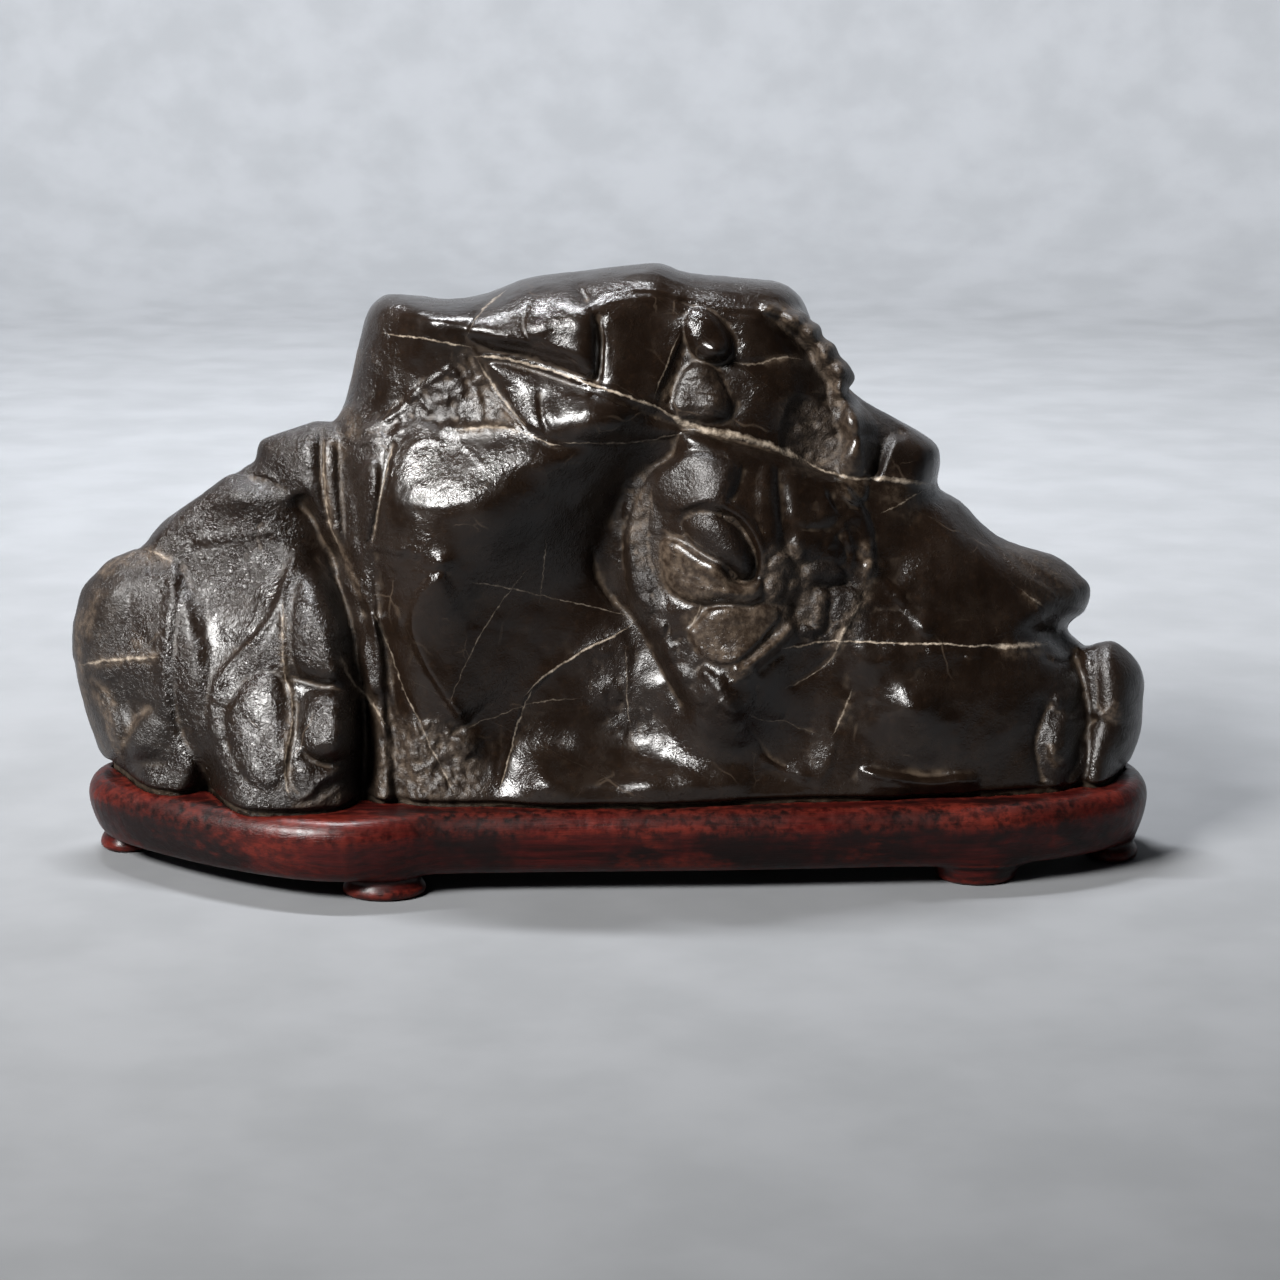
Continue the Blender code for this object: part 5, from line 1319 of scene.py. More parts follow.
def relax(points, faces, field, rounds):
    """Evens the net out along the surface, and puts it back on the surface."""
    edges = np.concatenate([faces[:, [0, 1]], faces[:, [1, 2]], faces[:, [2, 3]], faces[:, [3, 0]]])
    n = len(points)
    deg = np.bincount(edges.ravel(), minlength=n)[:, None].astype(float)
    slabs = 24
    for _ in range(rounds):
        mean = np.zeros_like(points)
        for a in range(3):
            mean[:, a] = (np.bincount(edges[:, 0], points[edges[:, 1], a], n)
                          + np.bincount(edges[:, 1], points[edges[:, 0], a], n))
        points = points + 0.5 * (mean / deg - points)
        order = np.array_split(np.argsort(points[:, 0]), slabs)
        for part in order:
            p = points[part]
            f = field(*p.T)
            g = np.stack([(field(*(p + d).T) - f) / 0.25 for d in np.eye(3) * 0.25], 1)
            step = f[:, None] * g / np.maximum((g * g).sum(1), 0.08)[:, None]
            points[part] = p - np.clip(step, -0.6, 0.6)
    return points


def net_object(name, points, quads, most_triangles):
    """A smooth mesh from a net, thinned where it is flattest."""
    mesh = bpy.data.meshes.new(name)
    place = np.array([SHIFT[0], SHIFT[1], 0.0])
    mesh.vertices.add(len(points))
    mesh.vertices.foreach_set("co", ((points + place) * MM).astype(np.float32).ravel())
    mesh.loops.add(quads.size)
    mesh.loops.foreach_set("vertex_index", quads.astype(np.int32).ravel())
    mesh.polygons.add(len(quads))
    mesh.polygons.foreach_set("loop_start", np.arange(0, quads.size, 4, dtype=np.int32))
    mesh.update(calc_edges=True)
    mesh.validate()
    obj = bpy.data.objects.new(name, mesh)
    bpy.context.scene.collection.objects.link(obj)
    if 2 * len(quads) > most_triangles:
        thin = obj.modifiers.new("thin", "DECIMATE")
        thin.ratio = most_triangles / (2 * len(quads))
        thin.use_collapse_triangulate = True
        bpy.context.view_layer.update()
        slim = bpy.data.meshes.new_from_object(obj.evaluated_get(bpy.context.evaluated_depsgraph_get()))
        obj.modifiers.remove(thin)
        obj.data = slim
        slim.name = name
        bpy.data.meshes.remove(mesh)
    obj.data.shade_smooth()
    return obj


def layout_points(obj):
    """Vertex positions of a fine mesh in the layout frame, millimetres."""
    co = np.empty(len(obj.data.vertices) * 3, np.float32)
    obj.data.vertices.foreach_get("co", co)
    return co.reshape(-1, 3).astype(float) / MM - np.array([SHIFT[0], SHIFT[1], 0.0])


def keep(obj, name, values):
    """Stores one number (or one triple) per vertex for the finish to read."""
    values = np.asarray(values, np.float32)
    kind = "FLOAT_VECTOR" if values.ndim == 2 else "FLOAT"
    layer = obj.data.attributes.new(name, kind, "POINT")
    layer.data.foreach_set("vector" if values.ndim == 2 else "value", values.ravel())


# ------------------------------------------------------------------ the stand
# widest line of the stand's wall in plan, from the left end along the front
STAND_PLAN = [
    (-157.0, 2.0), (-155.2, -9.0), (-148.5, -19.0), (-135.5, -30.5), (-119.0, -42.5),
    (-103.0, -51.5), (-89.0, -57.0), (-76.0, -58.8), (-64.0, -56.0), (-50.0, -51.5),
    (-30.0, -50.0), (0.0, -49.0), (30.0, -48.0), (60.0, -46.0), (80.0, -44.5),
    (96.0, -44.0), (110.0, -42.5), (125.0, -38.0), (140.0, -30.5), (150.5, -21.5),
    (155.8, -11.0), (157.2, 0.0), (155.6, 10.5), (149.0, 20.0), (137.0, 29.0),
    (119.0, 37.5), (98.0, 43.0), (70.0, 46.5), (30.0, 50.5), (-10.0, 49.5),
    (-45.0, 46.5), (-70.0, 44.5), (-90.0, 42.0), (-112.0, 37.0), (-132.0, 29.0),
    (-147.0, 19.5), (-154.8, 10.8)]

# wall section: how far in from the widest line, and the height
WALL = [(7.0, STAND_UNDER), (5.2, 6.5), (3.0, 8.8), (1.0, 13.4), (0.1, 18.4),
        (0.6, 21.4), (2.0, 23.5), (4.0, 24.7), (6.6, STAND_TOP)]

# feet: plan position, half length, half width, turn in degrees, fillet to the wall
FEET = [(-146.5, 5.0, 10.5, 8.5, 90, 3.0), (-66.0, -42.5, 12.0, 10.0, 0, 3.0),
        (104.0, -28.0, 12.0, 10.0, 0, 5.5), (146.5, -5.0, 10.5, 8.0, 90, 3.0),
        (102.0, 30.0, 10.5, 9.5, 0, 4.0), (-70.0, 31.5, 12.0, 9.5, 0, 4.0)]
FOOT = [(0.86, 0.0), (0.98, 0.8), (1.0, 2.0), (0.92, 3.4), (0.81, 4.9), (0.86, 7.5), (0.9, 12.0)]
FOOT_PLAIN = [(0.84, 0.0), (0.94, 0.8), (0.97, 2.0), (0.97, 3.4), (0.98, 4.9), (1.0, 7.5), (1.0, 12.0)]


class StandPlan:
    def __init__(self):
        X, Y = np.meshgrid(np.arange(-170, 171, 1.0), np.arange(-70, 71, 1.0))
        self.raster = outline_distance(STAND_PLAN, X, Y)
        section = smooth_line(WALL, parts=8)
        self.inset, self.height = section[:, 0], section[:, 1]

    def at(self, x, y):
        return look_up(self.raster, x, y, -170.0, -70.0, 1.0)

    def depth_in(self, z):
        return np.interp(z, self.height, self.inset)


def stand_field(plan, stand_plan, x, y, z):
    out = stand_plan.at(x, y)
    hand = 0.16 * fractal(x / 16, y / 16, z / 9, 21, 2) * np.clip((z - 7) / 4, 0, 1)
    slope = (stand_plan.depth_in(z + 0.3) - stand_plan.depth_in(z - 0.3)) / 0.6
    wall = (out - stand_plan.depth_in(z)) / np.sqrt(1 + slope * slope) + hand - 0.08
    wall = -soft_max(-wall, -(STAND_TOP - 0.02 - z), 0.5)
    wall = -soft_max(-wall, -(z - STAND_UNDER), 0.8)
    total = wall
    for fx, fy, along, across, turn, fillet in FEET:
        c, s = math.cos(math.radians(turn)), math.sin(math.radians(turn))
        dx, dy = x - fx, y - fy
        p, q = (dx * c + dy * s) / along, (-dx * s + dy * c) / across
        shape = FOOT_PLAIN if fillet > 5 else FOOT
        size = np.interp(z, [row[1] for row in shape], [row[0] for row in shape])
        foot = min(along, across) * (size - np.sqrt(p * p + q * q))
        foot = -soft_max(-foot, z - 13.0, 0.8)
        # the foot never stands out past the wall's widest line
        foot = -soft_max(-foot, -(out - 1.0), 0.6)
        total = soft_max(total, foot, fillet)
    total = -soft_max(-total, -(STAND_TOP - 0.02 - z), 0.3)
    total = np.minimum(total, z - 0.02)
    seat = plan.at(x, y) + SEAT_GAP
    seat = np.minimum(seat, z - SEAT_FLOOR)
    return -soft_max(-total, seat, 0.5)


# ------------------------------------------------------------------ finishes
class Finish:
    """A material, built node by node."""

    def __init__(self, name):
        self.material = bpy.data.materials.new(name)
        self.material.use_nodes = True
        self.tree = self.material.node_tree
        self.tree.nodes.clear()
        self.out = self.tree.nodes.new("ShaderNodeOutputMaterial")
        self.shader = self.tree.nodes.new("ShaderNodeBsdfPrincipled")
        self.tree.links.new(self.shader.outputs["BSDF"], self.out.inputs["Surface"])

    def node(self, kind, **settings):
        n = self.tree.nodes.new("ShaderNode" + kind)
        for key, value in settings.items():
            setattr(n, key, value)
        return n

    def put(self, socket, value):
        if isinstance(value, bpy.types.NodeSocket):
            self.tree.links.new(value, socket)
        elif isinstance(value, tuple) and len(value) == 3 and socket.type == "RGBA":
            socket.default_value = (*value, 1)
        else:
            socket.default_value = value

    def math(self, op, a, b=None, c=None, clamp=False):
        n = self.node("Math", operation=op, use_clamp=clamp)
        for socket, value in zip(n.inputs, (a, b, c)):
            if value is not None:
                self.put(socket, value)
        return n.outputs[0]

    def vmath(self, op, a, b=None, scale=None):
        n = self.node("VectorMath", operation=op)
        self.put(n.inputs[0], a)
        if b is not None:
            self.put(n.inputs[1], b)
        if scale is not None:
            self.put(n.inputs["Scale"], scale)
        return n.outputs[0]

    def span(self, value, low, high, to_low=0.0, to_high=1.0, smooth=True):
        n = self.node("MapRange", interpolation_type="SMOOTHSTEP" if smooth else "LINEAR", clamp=True)
        for socket, v in zip(n.inputs, (value, low, high, to_low, to_high)):
            self.put(socket, v)
        return n.outputs[0]

    def mix(self, share, a, b):
        n = self.node("Mix", data_type="RGBA")
        self.put(n.inputs[0], share)
        self.put(n.inputs[6], a)
        self.put(n.inputs[7], b)
        return n.outputs[2]

    def noise(self, vector, scale, detail=3.0, roughness=0.55, distortion=0.0, kind="FBM"):
        n = self.node("TexNoise", noise_dimensions="3D", noise_type=kind)
        self.put(n.inputs["Vector"], vector)
        n.inputs["Scale"].default_value = scale
        n.inputs["Detail"].default_value = detail
        n.inputs["Roughness"].default_value = roughness
        n.inputs["Distortion"].default_value = distortion
        return n.outputs["Fac"]

    def noise_colour(self, vector, scale, detail=2.0):
        n = self.node("TexNoise", noise_dimensions="3D")
        self.put(n.inputs["Vector"], vector)
        n.inputs["Scale"].default_value = scale
        n.inputs["Detail"].default_value = detail
        return n.outputs["Color"]

    def cells(self, vector, scale, feature="DISTANCE_TO_EDGE", randomness=1.0):
        n = self.node("TexVoronoi", voronoi_dimensions="3D", feature=feature)
        self.put(n.inputs["Vector"], vector)
        n.inputs["Scale"].default_value = scale
        n.inputs["Randomness"].default_value = randomness
        return n.outputs["Distance"]

    def stored(self, name, vector=False):
        n = self.node("Attribute", attribute_name=name, attribute_type="GEOMETRY")
        return n.outputs["Vector" if vector else "Fac"]

    def curve(self, value, points, handle="AUTO", extend="EXTRAPOLATED"):
        n = self.node("FloatCurve")
        line = n.mapping.curves[0]
        points = sorted(points)
        while len(line.points) < len(points):
            line.points.new(0.5, 0.5)
        for spot, (x, y) in zip(line.points, points):
            spot.location = (x, y)
            spot.handle_type = handle
        n.mapping.extend = extend
        n.mapping.use_clip = False
        n.mapping.update()
        self.put(n.inputs["Value"], value)
        return n.outputs[0]

    def grain_space(self):
        """Object space in millimetres."""
        return self.vmath("SCALE", self.node("TexCoord").outputs["Object"], scale=1000.0)


"""Veins that cross the display side: points on the drawing, half width at the
middle, strength, which way the line runs."""
VEINS = [
    ([(476, 356), (500, 358), (520, 362), (540, 367), (560, 373), (580, 380), (600, 387),
      (620, 394), (640, 401), (656, 407), (672, 415)], 2.3, 1.0, "u"),
    ([(664, 412), (680, 421), (700, 428), (730, 434), (760, 442), (786, 452), (806, 461)], 5.2, 1.0, "u"),
    ([(800, 458), (820, 469), (836, 474), (852, 478), (870, 479)], 2.6, 0.9, "u"),
    ([(864, 478), (884, 479), (906, 481), (934, 485)], 3.6, 0.9, "u"),
    ([(384, 333), (400, 336), (420, 338), (445, 343), (470, 347)], 1.7, 0.75, "u"),
    ([(452, 431), (470, 429), (486, 427), (504, 428), (520, 431)], 2.6, 0.75, "u"),
    ([(518, 430), (532, 436), (546, 442), (560, 446)], 1.5, 0.7, "u"),
    ([(560, 443), (590, 443), (620, 443), (645, 441), (670, 436), (686, 433)], 1.1, 0.55, "u"),
    ([(82, 665), (100, 661), (120, 659), (140, 658), (158, 657)], 2.8, 0.8, "u"),
    ([(146, 549), (154, 552), (164, 557), (174, 562)], 2.2, 0.55, "u"),
    ([(782, 648), (800, 646), (820, 642), (845, 641), (870, 642), (900, 643), (940, 644),
      (975, 646), (1000, 645)], 1.7, 0.85, "u"),
    ([(990, 646), (1008, 646), (1024, 645), (1046, 644)], 4.4, 0.95, "u"),
    ([(526, 694), (540, 680), (556, 668), (572, 658), (590, 647), (606, 640), (622, 631),
      (634, 622)], 1.7, 0.8, "u"),
    ([(498, 794), (505, 770), (512, 746), (518, 722), (527, 700), (533, 688)], 1.3, 0.55, "v"),
    ([(546, 536), (545, 556), (543, 576), (540, 600)], 1.0, 0.35, "v"),
    ([(468, 582), (500, 586), (535, 594), (570, 602), (600, 609), (632, 616)], 1.0, 0.28, "u"),
    ([(450, 702), (464, 668), (480, 636), (496, 610), (512, 588), (528, 568)], 1.0, 0.26, "v"),
    ([(462, 730), (480, 722), (503, 714), (530, 704), (552, 700), (576, 699)], 1.0, 0.22, "u"),
    ([(372, 608), (380, 628), (394, 660), (403, 688), (418, 718), (430, 745), (446, 776),
      (458, 802)], 1.2, 0.35, "v"),
    ([(324, 436), (323, 460), (325, 490), (330, 524), (340, 548)], 1.5, 0.5, "v"),
    ([(394, 440), (388, 465), (382, 490), (377, 515), (372, 544)], 1.1, 0.35, "v"),
    ([(341, 656), (350, 678), (362, 692), (374, 706), (388, 728)], 2.4, 0.75, "v"),
    ([(283, 600), (283, 640), (285, 676), (290, 692), (292, 720), (287, 750), (285, 776),
      (290, 802)], 1.6, 0.45, "v"),
    ([(478, 362), (490, 380), (500, 396), (510, 408), (524, 424)], 2.4, 0.65, "v"),
    ([(468, 334), (476, 318), (490, 303), (506, 290)], 1.6, 0.4, "u"),
    ([(680, 334), (672, 351), (662, 376), (654, 397)], 1.4, 0.4, "v"),
    ([(732, 362), (748, 364), (766, 362), (780, 358), (800, 359)], 1.7, 0.55, "u"),
    ([(862, 600), (852, 618), (843, 633), (838, 646), (832, 660)], 2.6, 0.65, "v"),
    ([(882, 513), (895, 507), (914, 496), (932, 487)], 1.1, 0.45, "u"),
    ([(786, 688), (800, 682), (825, 665), (846, 640)], 1.0, 0.4, "u"),
    ([(744, 712), (764, 720), (784, 721), (800, 728), (816, 733)], 0.9, 0.32, "u"),
    ([(832, 736), (838, 724), (845, 708), (852, 690)], 1.5, 0.45, "v"),
    ([(626, 650), (627, 680), (628, 706), (630, 730)], 1.0, 0.3, "v"),
    ([(702, 602), (696, 618), (688, 630)], 1.2, 0.4, "v"),
    ([(1024, 592), (1034, 600), (1046, 608)], 1.8, 0.35, "u"),
]


def vein_mask(f, along, across, wander, fine):
    """Brightness of all the veins at a point, 0 to 1."""
    beside = {"u": f.math("ADD", across, wander), "v": f.math("ADD", along, wander)}
    thick = f.math("MULTIPLY_ADD", fine, 1.15, 0.2)
    total = None
    for points, width, strength, way in VEINS:
        a = along if way == "u" else across
        pairs = [(p[0] / 1280, p[1] / 1280) if way == "u" else (p[1] / 1280, p[0] / 1280)
                 for p in points]
        pairs.sort()
        ends = pairs[0], pairs[-1]
        tilt = [(y1 - y0) / (x1 - x0) for (x0, y0), (x1, y1) in zip(pairs[:-1], pairs[1:])]
        lean = math.sqrt(1 + (sum(abs(t) for t in tilt) / len(tilt)) ** 2)
        centre = f.curve(a, [(ends[0][0] - 0.02, ends[0][1] - 0.02 * tilt[0])] + pairs
                         + [(ends[1][0] + 0.02, ends[1][1] + 0.02 * tilt[-1])])
        half = width / 1280 * lean
        low, high = ends[0][0], ends[1][0]
        room = min(0.012, (high - low) / 4)
        taper = f.curve(a, [(low - room * 0.4, 0.0), (low + room, 1.0),
                            (high - room, 1.0), (high + room * 0.4, 0.0)], "VECTOR", "HORIZONTAL")
        size = f.math("MULTIPLY", taper, f.math("MULTIPLY", thick, half))
        off = f.math("ABSOLUTE", f.math("SUBTRACT", beside[way], centre))
        k = f.math("MULTIPLY", f.math("SUBTRACT", size, off), 1.5 * strength / half, clamp=True)
        total = k if total is None else f.math("MAXIMUM", total, k)
    return total


def stone_finish():
    f = Finish("polished_dark_stone")
    space = f.grain_space()
    draw = f.stored("draw", True)
    split = f.node("SeparateXYZ")
    f.put(split.inputs[0], draw)
    u, v, front = split.outputs[0], split.outputs[1], split.outputs[2]
    cavity = f.stored("cavity")
    tan = f.stored("tan")
    rough = f.stored("rough")
    rear_vein = f.stored("rear_vein")

    wide = f.noise(space, 0.030, 3, 0.5)
    mid = f.noise(space, 0.11, 4, 0.6)
    small = f.noise(space, 0.42, 4, 0.62)
    speck = f.noise(space, 2.2, 2, 0.6)
    shake = f.vmath("SCALE", f.vmath("SUBTRACT", f.noise_colour(space, 0.16, 1), (0.5, 0.5, 0.5)), scale=4.2)
    bent = f.vmath("ADD", space, shake)
    shake_fine = f.vmath("SCALE", f.vmath("SUBTRACT", f.noise_colour(space, 0.6, 1), (0.5, 0.5, 0.5)), scale=1.2)
    bent_fine = f.vmath("ADD", bent, shake_fine)

    # veins
    wander = f.math("MULTIPLY", f.math("SUBTRACT", f.noise(space, 0.35, 3, 0.6), 0.5), 0.0042)
    veins = f.math("MULTIPLY", vein_mask(f, u, v, wander, small), front)
    back = f.math("MULTIPLY", rear_vein, f.span(small, 0.3, 0.6))
    veins = f.math("MAXIMUM", veins, f.math("MULTIPLY", back, 0.8))
    veins = f.math("MULTIPLY", veins, f.span(speck, 0.2, 0.6, 0.5, 1.0))

    # hairline cracks, pale where dust has stayed in them
    hair = f.cells(bent, 0.034)
    hair = f.span(hair, 0.002, 0.016, 1.0, 0.0)
    hair = f.math("MULTIPLY", hair, f.span(f.noise(space, 0.05, 2), 0.56, 0.68))
    hair2 = f.cells(f.vmath("ADD", bent_fine, (31.0, 7.0, 13.0)), 0.075)
    hair2 = f.span(hair2, 0.002, 0.02, 1.0, 0.0)
    hair2 = f.math("MULTIPLY", hair2, f.span(f.noise(space, 0.07, 2), 0.62, 0.74))
    hairs = f.math("MAXIMUM", hair, hair2)

    base = f.mix(f.span(wide, 0.35, 0.65), STONE_DARK, STONE_MID)
    base = f.mix(f.math("MULTIPLY", f.span(mid, 0.42, 0.72), 0.55), base, STONE_LIGHT)
    base = f.mix(f.math("MULTIPLY", f.span(small, 0.5, 0.75), 0.35), base, STONE_WARM)
    brown = f.mix(f.span(small, 0.35, 0.68), STONE_BROWN, STONE_TAN)
    tan_share = f.math("MULTIPLY", tan, f.span(f.math("ADD", small, f.math("MULTIPLY", mid, 0.5)), 0.45, 1.0, 0.32, 0.85))
    base = f.mix(tan_share, base, brown)
    dust = f.math("MULTIPLY", f.span(cavity, 0.10, 0.42), f.span(small, 0.3, 0.66, 0.15, 0.75))
    base = f.mix(dust, base, STONE_DUST)
    base = f.mix(f.math("MULTIPLY", hairs, 0.2), base, STONE_TAN)
    cream = f.mix(f.span(small, 0.36, 0.7), VEIN_LOW, VEIN_HIGH)
    base = f.mix(veins, base, cream)
    f.put(f.shader.inputs["Base Color"], base)

    # how glossy
    dull = f.math("ADD", f.math("MULTIPLY", rough, 0.26), f.math("MULTIPLY", tan_share, 0.16))
    dull = f.math("ADD", dull, f.math("MULTIPLY", veins, 0.14))
    dull = f.math("ADD", dull, f.math("MULTIPLY", f.span(cavity, 0.05, 0.35), 0.16))
    gloss = f.math("ADD", f.span(mid, 0.3, 0.7, 0.20, 0.29), f.span(u, 0.27, 0.31, 0.03, 0.0))
    f.put(f.shader.inputs["Roughness"], f.math("ADD", gloss, dull, clamp=True))
    f.shader.inputs["Specular IOR Level"].default_value = 0.36

    # fine relief, in millimetres
    fold = f.noise(space, 0.16, 3, 0.6, 0.6)
    fold = f.math("ABSOLUTE", f.math("SUBTRACT", fold, 0.5))
    hide = f.span(u, 0.27, 0.31, 1.0, 0.35)
    height = f.math("MULTIPLY", fold, f.math("MULTIPLY", hide, 0.5))
    skin = f.math("MULTIPLY", f.span(f.noise(space, 0.06, 2), 0.34, 0.62, 0.2, 1.0),
                  f.span(u, 0.27, 0.31, 1.0, 0.36))
    crinkle = f.math("ABSOLUTE", f.math("SUBTRACT", f.noise(space, 0.72, 3, 0.62, 0.5), 0.5))
    height = f.math("MULTIPLY_ADD", f.math("MULTIPLY", crinkle, skin), 0.95, height)
    height = f.math("MULTIPLY_ADD", f.noise(space, 0.9, 3, 0.7), f.math("MULTIPLY", rough, 0.75), height)
    bump = f.node("Bump")
    bump.inputs["Strength"].default_value = 1.0
    bump.inputs["Distance"].default_value = 0.001
    f.put(bump.inputs["Height"], height)
    f.put(f.shader.inputs["Normal"], bump.outputs["Normal"])
    return f.material


def wood_finish():
    f = Finish("carved_lacquered_wood")
    space = f.grain_space()
    wear = f.stored("wear")
    cavity = f.stored("cavity")
    stretch = f.vmath("MULTIPLY", space, (0.045, 0.42, 0.62))
    grain = f.noise(stretch, 1.0, 5, 0.62, 0.6)
    pores = f.noise(f.vmath("MULTIPLY", space, (0.11, 1.9, 2.6)), 1.0, 3, 0.6)
    blotch = f.noise(space, 0.035, 4, 0.6)
    patch = f.noise(f.vmath("MULTIPLY", space, (0.03, 0.07, 0.09)), 1.0, 4, 0.65)
    small = f.noise(space, 0.4, 4, 0.62)

    base = f.mix(f.span(grain, 0.3, 0.7), WOOD_DARK, WOOD_RED)
    base = f.mix(f.math("MULTIPLY", f.span(blotch, 0.42, 0.60), 0.9), base, WOOD_BLACK)
    bare = f.math("MULTIPLY", f.span(patch, 0.5, 0.68), f.span(small, 0.35, 0.62, 0.3, 1.0))
    base = f.mix(f.math("MULTIPLY", bare, 0.7), base, WOOD_WORN)
    edge = f.math("MULTIPLY", f.span(wear, 0.04, 0.26), f.span(small, 0.34, 0.62))
    base = f.mix(f.math("MULTIPLY", edge, 0.55), base, WOOD_WORN)
    # painted shade: the hollows of the carving are darkened towards WOOD_BLACK
    base = f.mix(f.math("MULTIPLY", f.span(cavity, 0.05, 0.3), 0.6), base, WOOD_BLACK)
    base = f.mix(f.math("MULTIPLY", f.span(pores, 0.55, 0.7), 0.45), base, WOOD_BLACK)
    f.put(f.shader.inputs["Base Color"], base)
    f.put(f.shader.inputs["Roughness"], f.span(f.math("MULTIPLY_ADD", blotch, 0.6, f.math("MULTIPLY", small, 0.4)),
                                              0.3, 0.7, 0.30, 0.52))
    f.shader.inputs["Specular IOR Level"].default_value = 0.15
    f.shader.inputs["Coat Roughness"].default_value = 0.22
    f.put(f.shader.inputs["Coat Weight"], f.span(small, 0.3, 0.7, 0.13, 0.04))
    height = f.math("MULTIPLY", pores, -0.10)
    height = f.math("MULTIPLY_ADD", grain, 0.12, height)
    height = f.math("MULTIPLY_ADD", small, 0.10, height)
    bump = f.node("Bump")
    bump.inputs["Strength"].default_value = 1.0
    bump.inputs["Distance"].default_value = 0.001
    f.put(bump.inputs["Height"], height)
    f.put(f.shader.inputs["Normal"], bump.outputs["Normal"])
    return f.material


STONE_DARK = (0.0050, 0.0028, 0.0017)
STONE_MID = (0.0076, 0.0044, 0.0028)
STONE_LIGHT = (0.0112, 0.0072, 0.0048)
STONE_WARM = (0.0165, 0.0088, 0.0048)
STONE_BROWN = (0.0400, 0.0260, 0.0165)
STONE_TAN = (0.1220, 0.0900, 0.0640)
STONE_DUST = (0.0560, 0.0400, 0.0270)
VEIN_LOW = (0.1300, 0.1000, 0.0720)
VEIN_HIGH = (0.3600, 0.3020, 0.2400)
WOOD_DARK = (0.0085, 0.0013, 0.0010)
WOOD_RED = (0.0340, 0.0030, 0.0024)
WOOD_BLACK = (0.0022, 0.0009, 0.0008)
WOOD_WORN = (0.0900, 0.0105, 0.0060)


def hollowness(obj, rounds=7):
    """How far each vertex lies below (+) or above (-) its surroundings, millimetres."""
    mesh = obj.data
    n = len(mesh.vertices)
    co = np.empty(n * 3, np.float32)
    mesh.vertices.foreach_get("co", co)
    co = co.reshape(-1, 3).astype(float) / MM
    nor = np.empty(n * 3, np.float32)
    mesh.vertex_normals.foreach_get("vector", nor)
    nor = nor.reshape(-1, 3).astype(float)
    e = np.empty(len(mesh.edges) * 2, np.int32)
    mesh.edges.foreach_get("vertices", e)
    e = e.reshape(-1, 2)
    deg = np.bincount(e.ravel(), minlength=n)[:, None].astype(float)
    p = co.copy()
    for _ in range(rounds):
        mean = np.stack([np.bincount(e[:, 0], p[e[:, 1], a], n) + np.bincount(e[:, 1], p[e[:, 0], a], n)
                         for a in range(3)], 1) / deg
        p = 0.35 * p + 0.65 * mean
    return ((p - co) * nor).sum(1), nor


def build_stone(made, plan):
    front, rear = display_side(), rear_side()
    front.h = blur(front.h, 1.1)
    rear.h = blur(rear.h, 2.0)

    def field(x, y, z):
        return rock_field(made, plan, front, rear, x, y, z)

    cell = STONE_CELL
    lo = np.array([-166.0, -60.0, 15.0])
    values = sampled(field, lo, [166.0, 54.0, 179.0], cell)
    values = settle(values, 0.1 * cell)
    points, quads = net_surface(values, lambda c: lo + cell * c)
    points = relax(points, quads, field, 2)
    low, high = (np.array(c) / MM - np.array([SHIFT[0], SHIFT[1], 0.0]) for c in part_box("stone"))
    points = np.clip(points, low + 0.02, high - 0.02)
    stone = net_object("stone_surface", points, quads, STONE_TRIANGLES)

    p = layout_points(stone)
    cavity, nor = hollowness(stone)
    u, v = to_drawing(*p.T)
    eye = np.array(EYE) - p
    eye /= np.linalg.norm(eye, axis=1)[:, None]
    facing = (eye * nor).sum(1)
    t = np.clip((facing + 0.28) / 0.3, 0, 1)
    shown = t * t * (3 - 2 * t)
    bu, bv = rear_coordinates(p[:, 0], p[:, 2])
    tan, rough = display_tints()
    tan_r, rough_r, vein_r = rear_tints()
    keep(stone, "draw", np.stack([u / 1280, v / 1280, shown], 1))
    keep(stone, "tan", shown * tan.at(u, v) + (1 - shown) * tan_r.at(bu, bv))
    keep(stone, "rough", shown * rough.at(u, v) + (1 - shown) * rough_r.at(bu, bv))
    keep(stone, "rear_vein", (1 - shown) * vein_r.at(bu, bv))
    keep(stone, "cavity", cavity)
    stone.data.materials.clear()
    stone.data.materials.append(stone_finish())
    return stone


def build_stand(plan):
    stand_plan = StandPlan()

    def field(x, y, z):
        return stand_field(plan, stand_plan, x, y, z)

    cell = STAND_CELL
    lo = np.array([-161.0, -62.0, -3.0])
    values = settle(sampled(field, lo, [161.0, 55.0, 28.0], cell), 0.1 * cell)
    points, quads = net_surface(values, lambda c: lo + cell * c)
    points = relax(points, quads, field, 2)
    low, high = (np.array(c) / MM - np.array([SHIFT[0], SHIFT[1], 0.0]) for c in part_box("stand"))
    points = np.clip(points, low + 0.01, high - 0.01)
    stand = net_object("stand_surface", points, quads, STAND_TRIANGLES)
    cavity, _ = hollowness(stand)
    keep(stand, "cavity", cavity)
    keep(stand, "wear", -cavity)
    stand.data.materials.clear()
    stand.data.materials.append(wood_finish())
    return stand


STONE_CELL, STONE_TRIANGLES = 0.8, 194000
STAND_CELL, STAND_TRIANGLES = 1.0, 120000

made = prepare_forms()
plan = Plan(made)
stone = build_stone(made, plan)
stand = build_stand(plan)
for piece, node, slot in ((stone, "stone", "stone"), (stand, "stand", "stand_wood")):
    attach(piece, "root")
    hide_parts(node)


# ------------------------------------------------------- floor, light, camera
def plain(name, colour, roughness, patch):
    f = Finish(name)
    tone = f.noise(f.grain_space(), 0.02, 4, 0.55)
    f.put(f.shader.inputs["Base Color"], f.mix(f.span(tone, 0.3, 0.7), colour, patch))
    f.shader.inputs["Roughness"].default_value = roughness
    return f.material


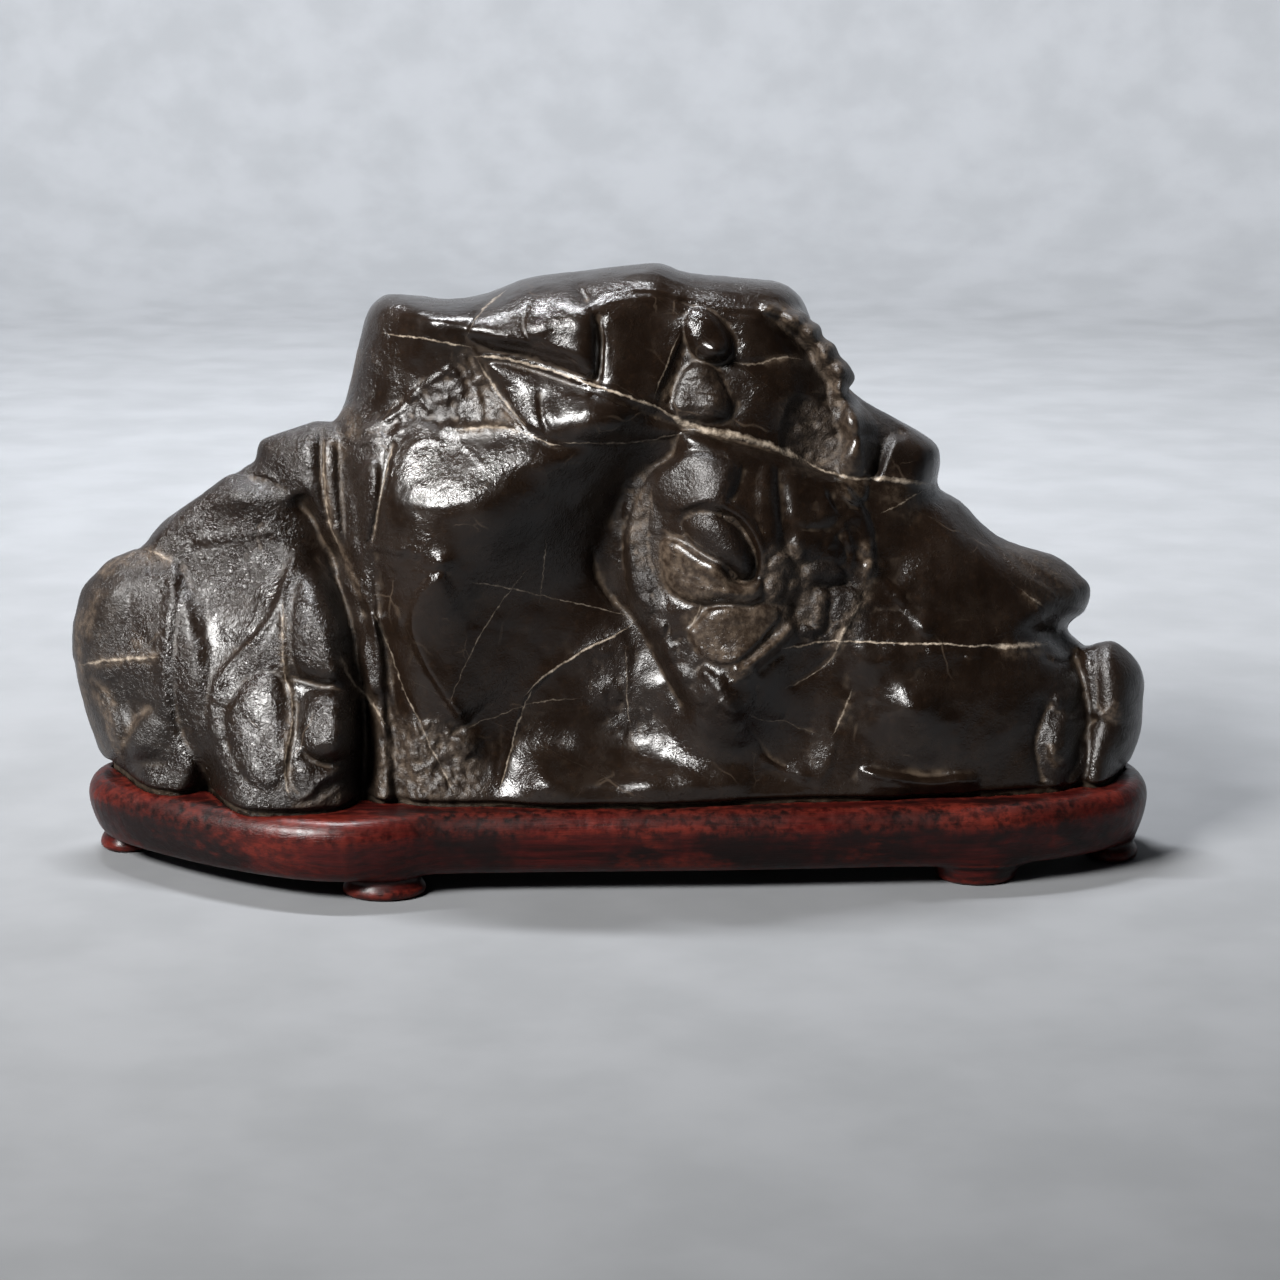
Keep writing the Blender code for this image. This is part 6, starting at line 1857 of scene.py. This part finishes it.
def sheet(name, verts, faces, material):
    mesh = bpy.data.meshes.new(name)
    mesh.from_pydata(verts, [], faces)
    mesh.materials.append(material)
    obj = bpy.data.objects.new(name, mesh)
    bpy.context.scene.collection.objects.link(obj)
    obj.data.shade_smooth()
    return obj


def studio():
    """A pale floor that curves up into a pale wall all round, well outside the object."""
    profile = [(0.0, 0.0), (0.5, 0.0), (1.0, 0.0), (1.35, 0.0)]
    for k in range(1, 11):
        a = math.radians(9 * k)
        profile.append((1.35 + 0.35 * math.sin(a), 0.35 * (1 - math.cos(a))))
    profile.append((1.70, 1.5))
    around = 72
    verts, faces = [(0.0, 0.0, 0.0)], []
    for radius, z in profile[1:]:
        for k in range(around):
            a = 2 * math.pi * k / around
            verts.append((radius * math.cos(a), radius * math.sin(a), z))
    for k in range(around):
        faces.append((0, 1 + k, 1 + (k + 1) % around))
    for r in range(len(profile) - 2):
        for k in range(around):
            a, b = 1 + r * around + k, 1 + r * around + (k + 1) % around
            faces.append((a, a + around, b + around, b))
    return sheet("studio", verts, faces, plain("pale_floor", FLOOR, 0.8, FLOOR_PATCH))


FLOOR = (0.118, 0.122, 0.127)
FLOOR_PATCH = (0.136, 0.140, 0.146)
studio()

AIM = Vector((0.0068 + SHIFT[0] * MM, SHIFT[1] * MM, 0.064))


def area(name, place, size, power, colour=(1, 1, 1), aim=None):
    light = bpy.data.lights.new(name, "AREA")
    light.shape = "RECTANGLE"
    light.size, light.size_y = size
    light.energy = power
    light.color = colour
    obj = bpy.data.objects.new(name, light)
    bpy.context.scene.collection.objects.link(obj)
    obj.location = place
    obj.rotation_euler = ((aim or AIM) - Vector(place)).to_track_quat("-Z", "Y").to_euler()
    return obj


KEY = Vector((-0.560, -0.590, 0.582)).normalized()
key = area("key", AIM + KEY * 1.3, (0.50, 0.30), 6.6, (1.0, 0.99, 0.975))
key.data.spread = math.radians(60)
area("wall_light", (-0.2, 0.3, 1.25), (0.5, 0.3), 125, (0.95, 0.97, 1.0), Vector((0, 1.7, 0.5)))
world = bpy.data.worlds.new("studio")
bpy.context.scene.world = world
world.use_nodes = True
world.node_tree.nodes["Background"].inputs[0].default_value = (0.60, 0.63, 0.67, 1)
world.node_tree.nodes["Background"].inputs[1].default_value = 0.018
bpy.context.scene.view_settings.view_transform = "Standard"

camera = bpy.data.objects.new("camera", bpy.data.cameras.new("camera"))
bpy.context.scene.collection.objects.link(camera)
camera.location = AIM + Vector((0, -math.cos(TILT), math.sin(TILT))) * STATION * MM
camera.rotation_euler = (AIM - camera.location).to_track_quat("-Z", "Y").to_euler()
camera.data.sensor_width = 36
camera.data.lens = 36 * SCALE / 1280
camera.data.clip_start = 0.02
bpy.context.scene.camera = camera
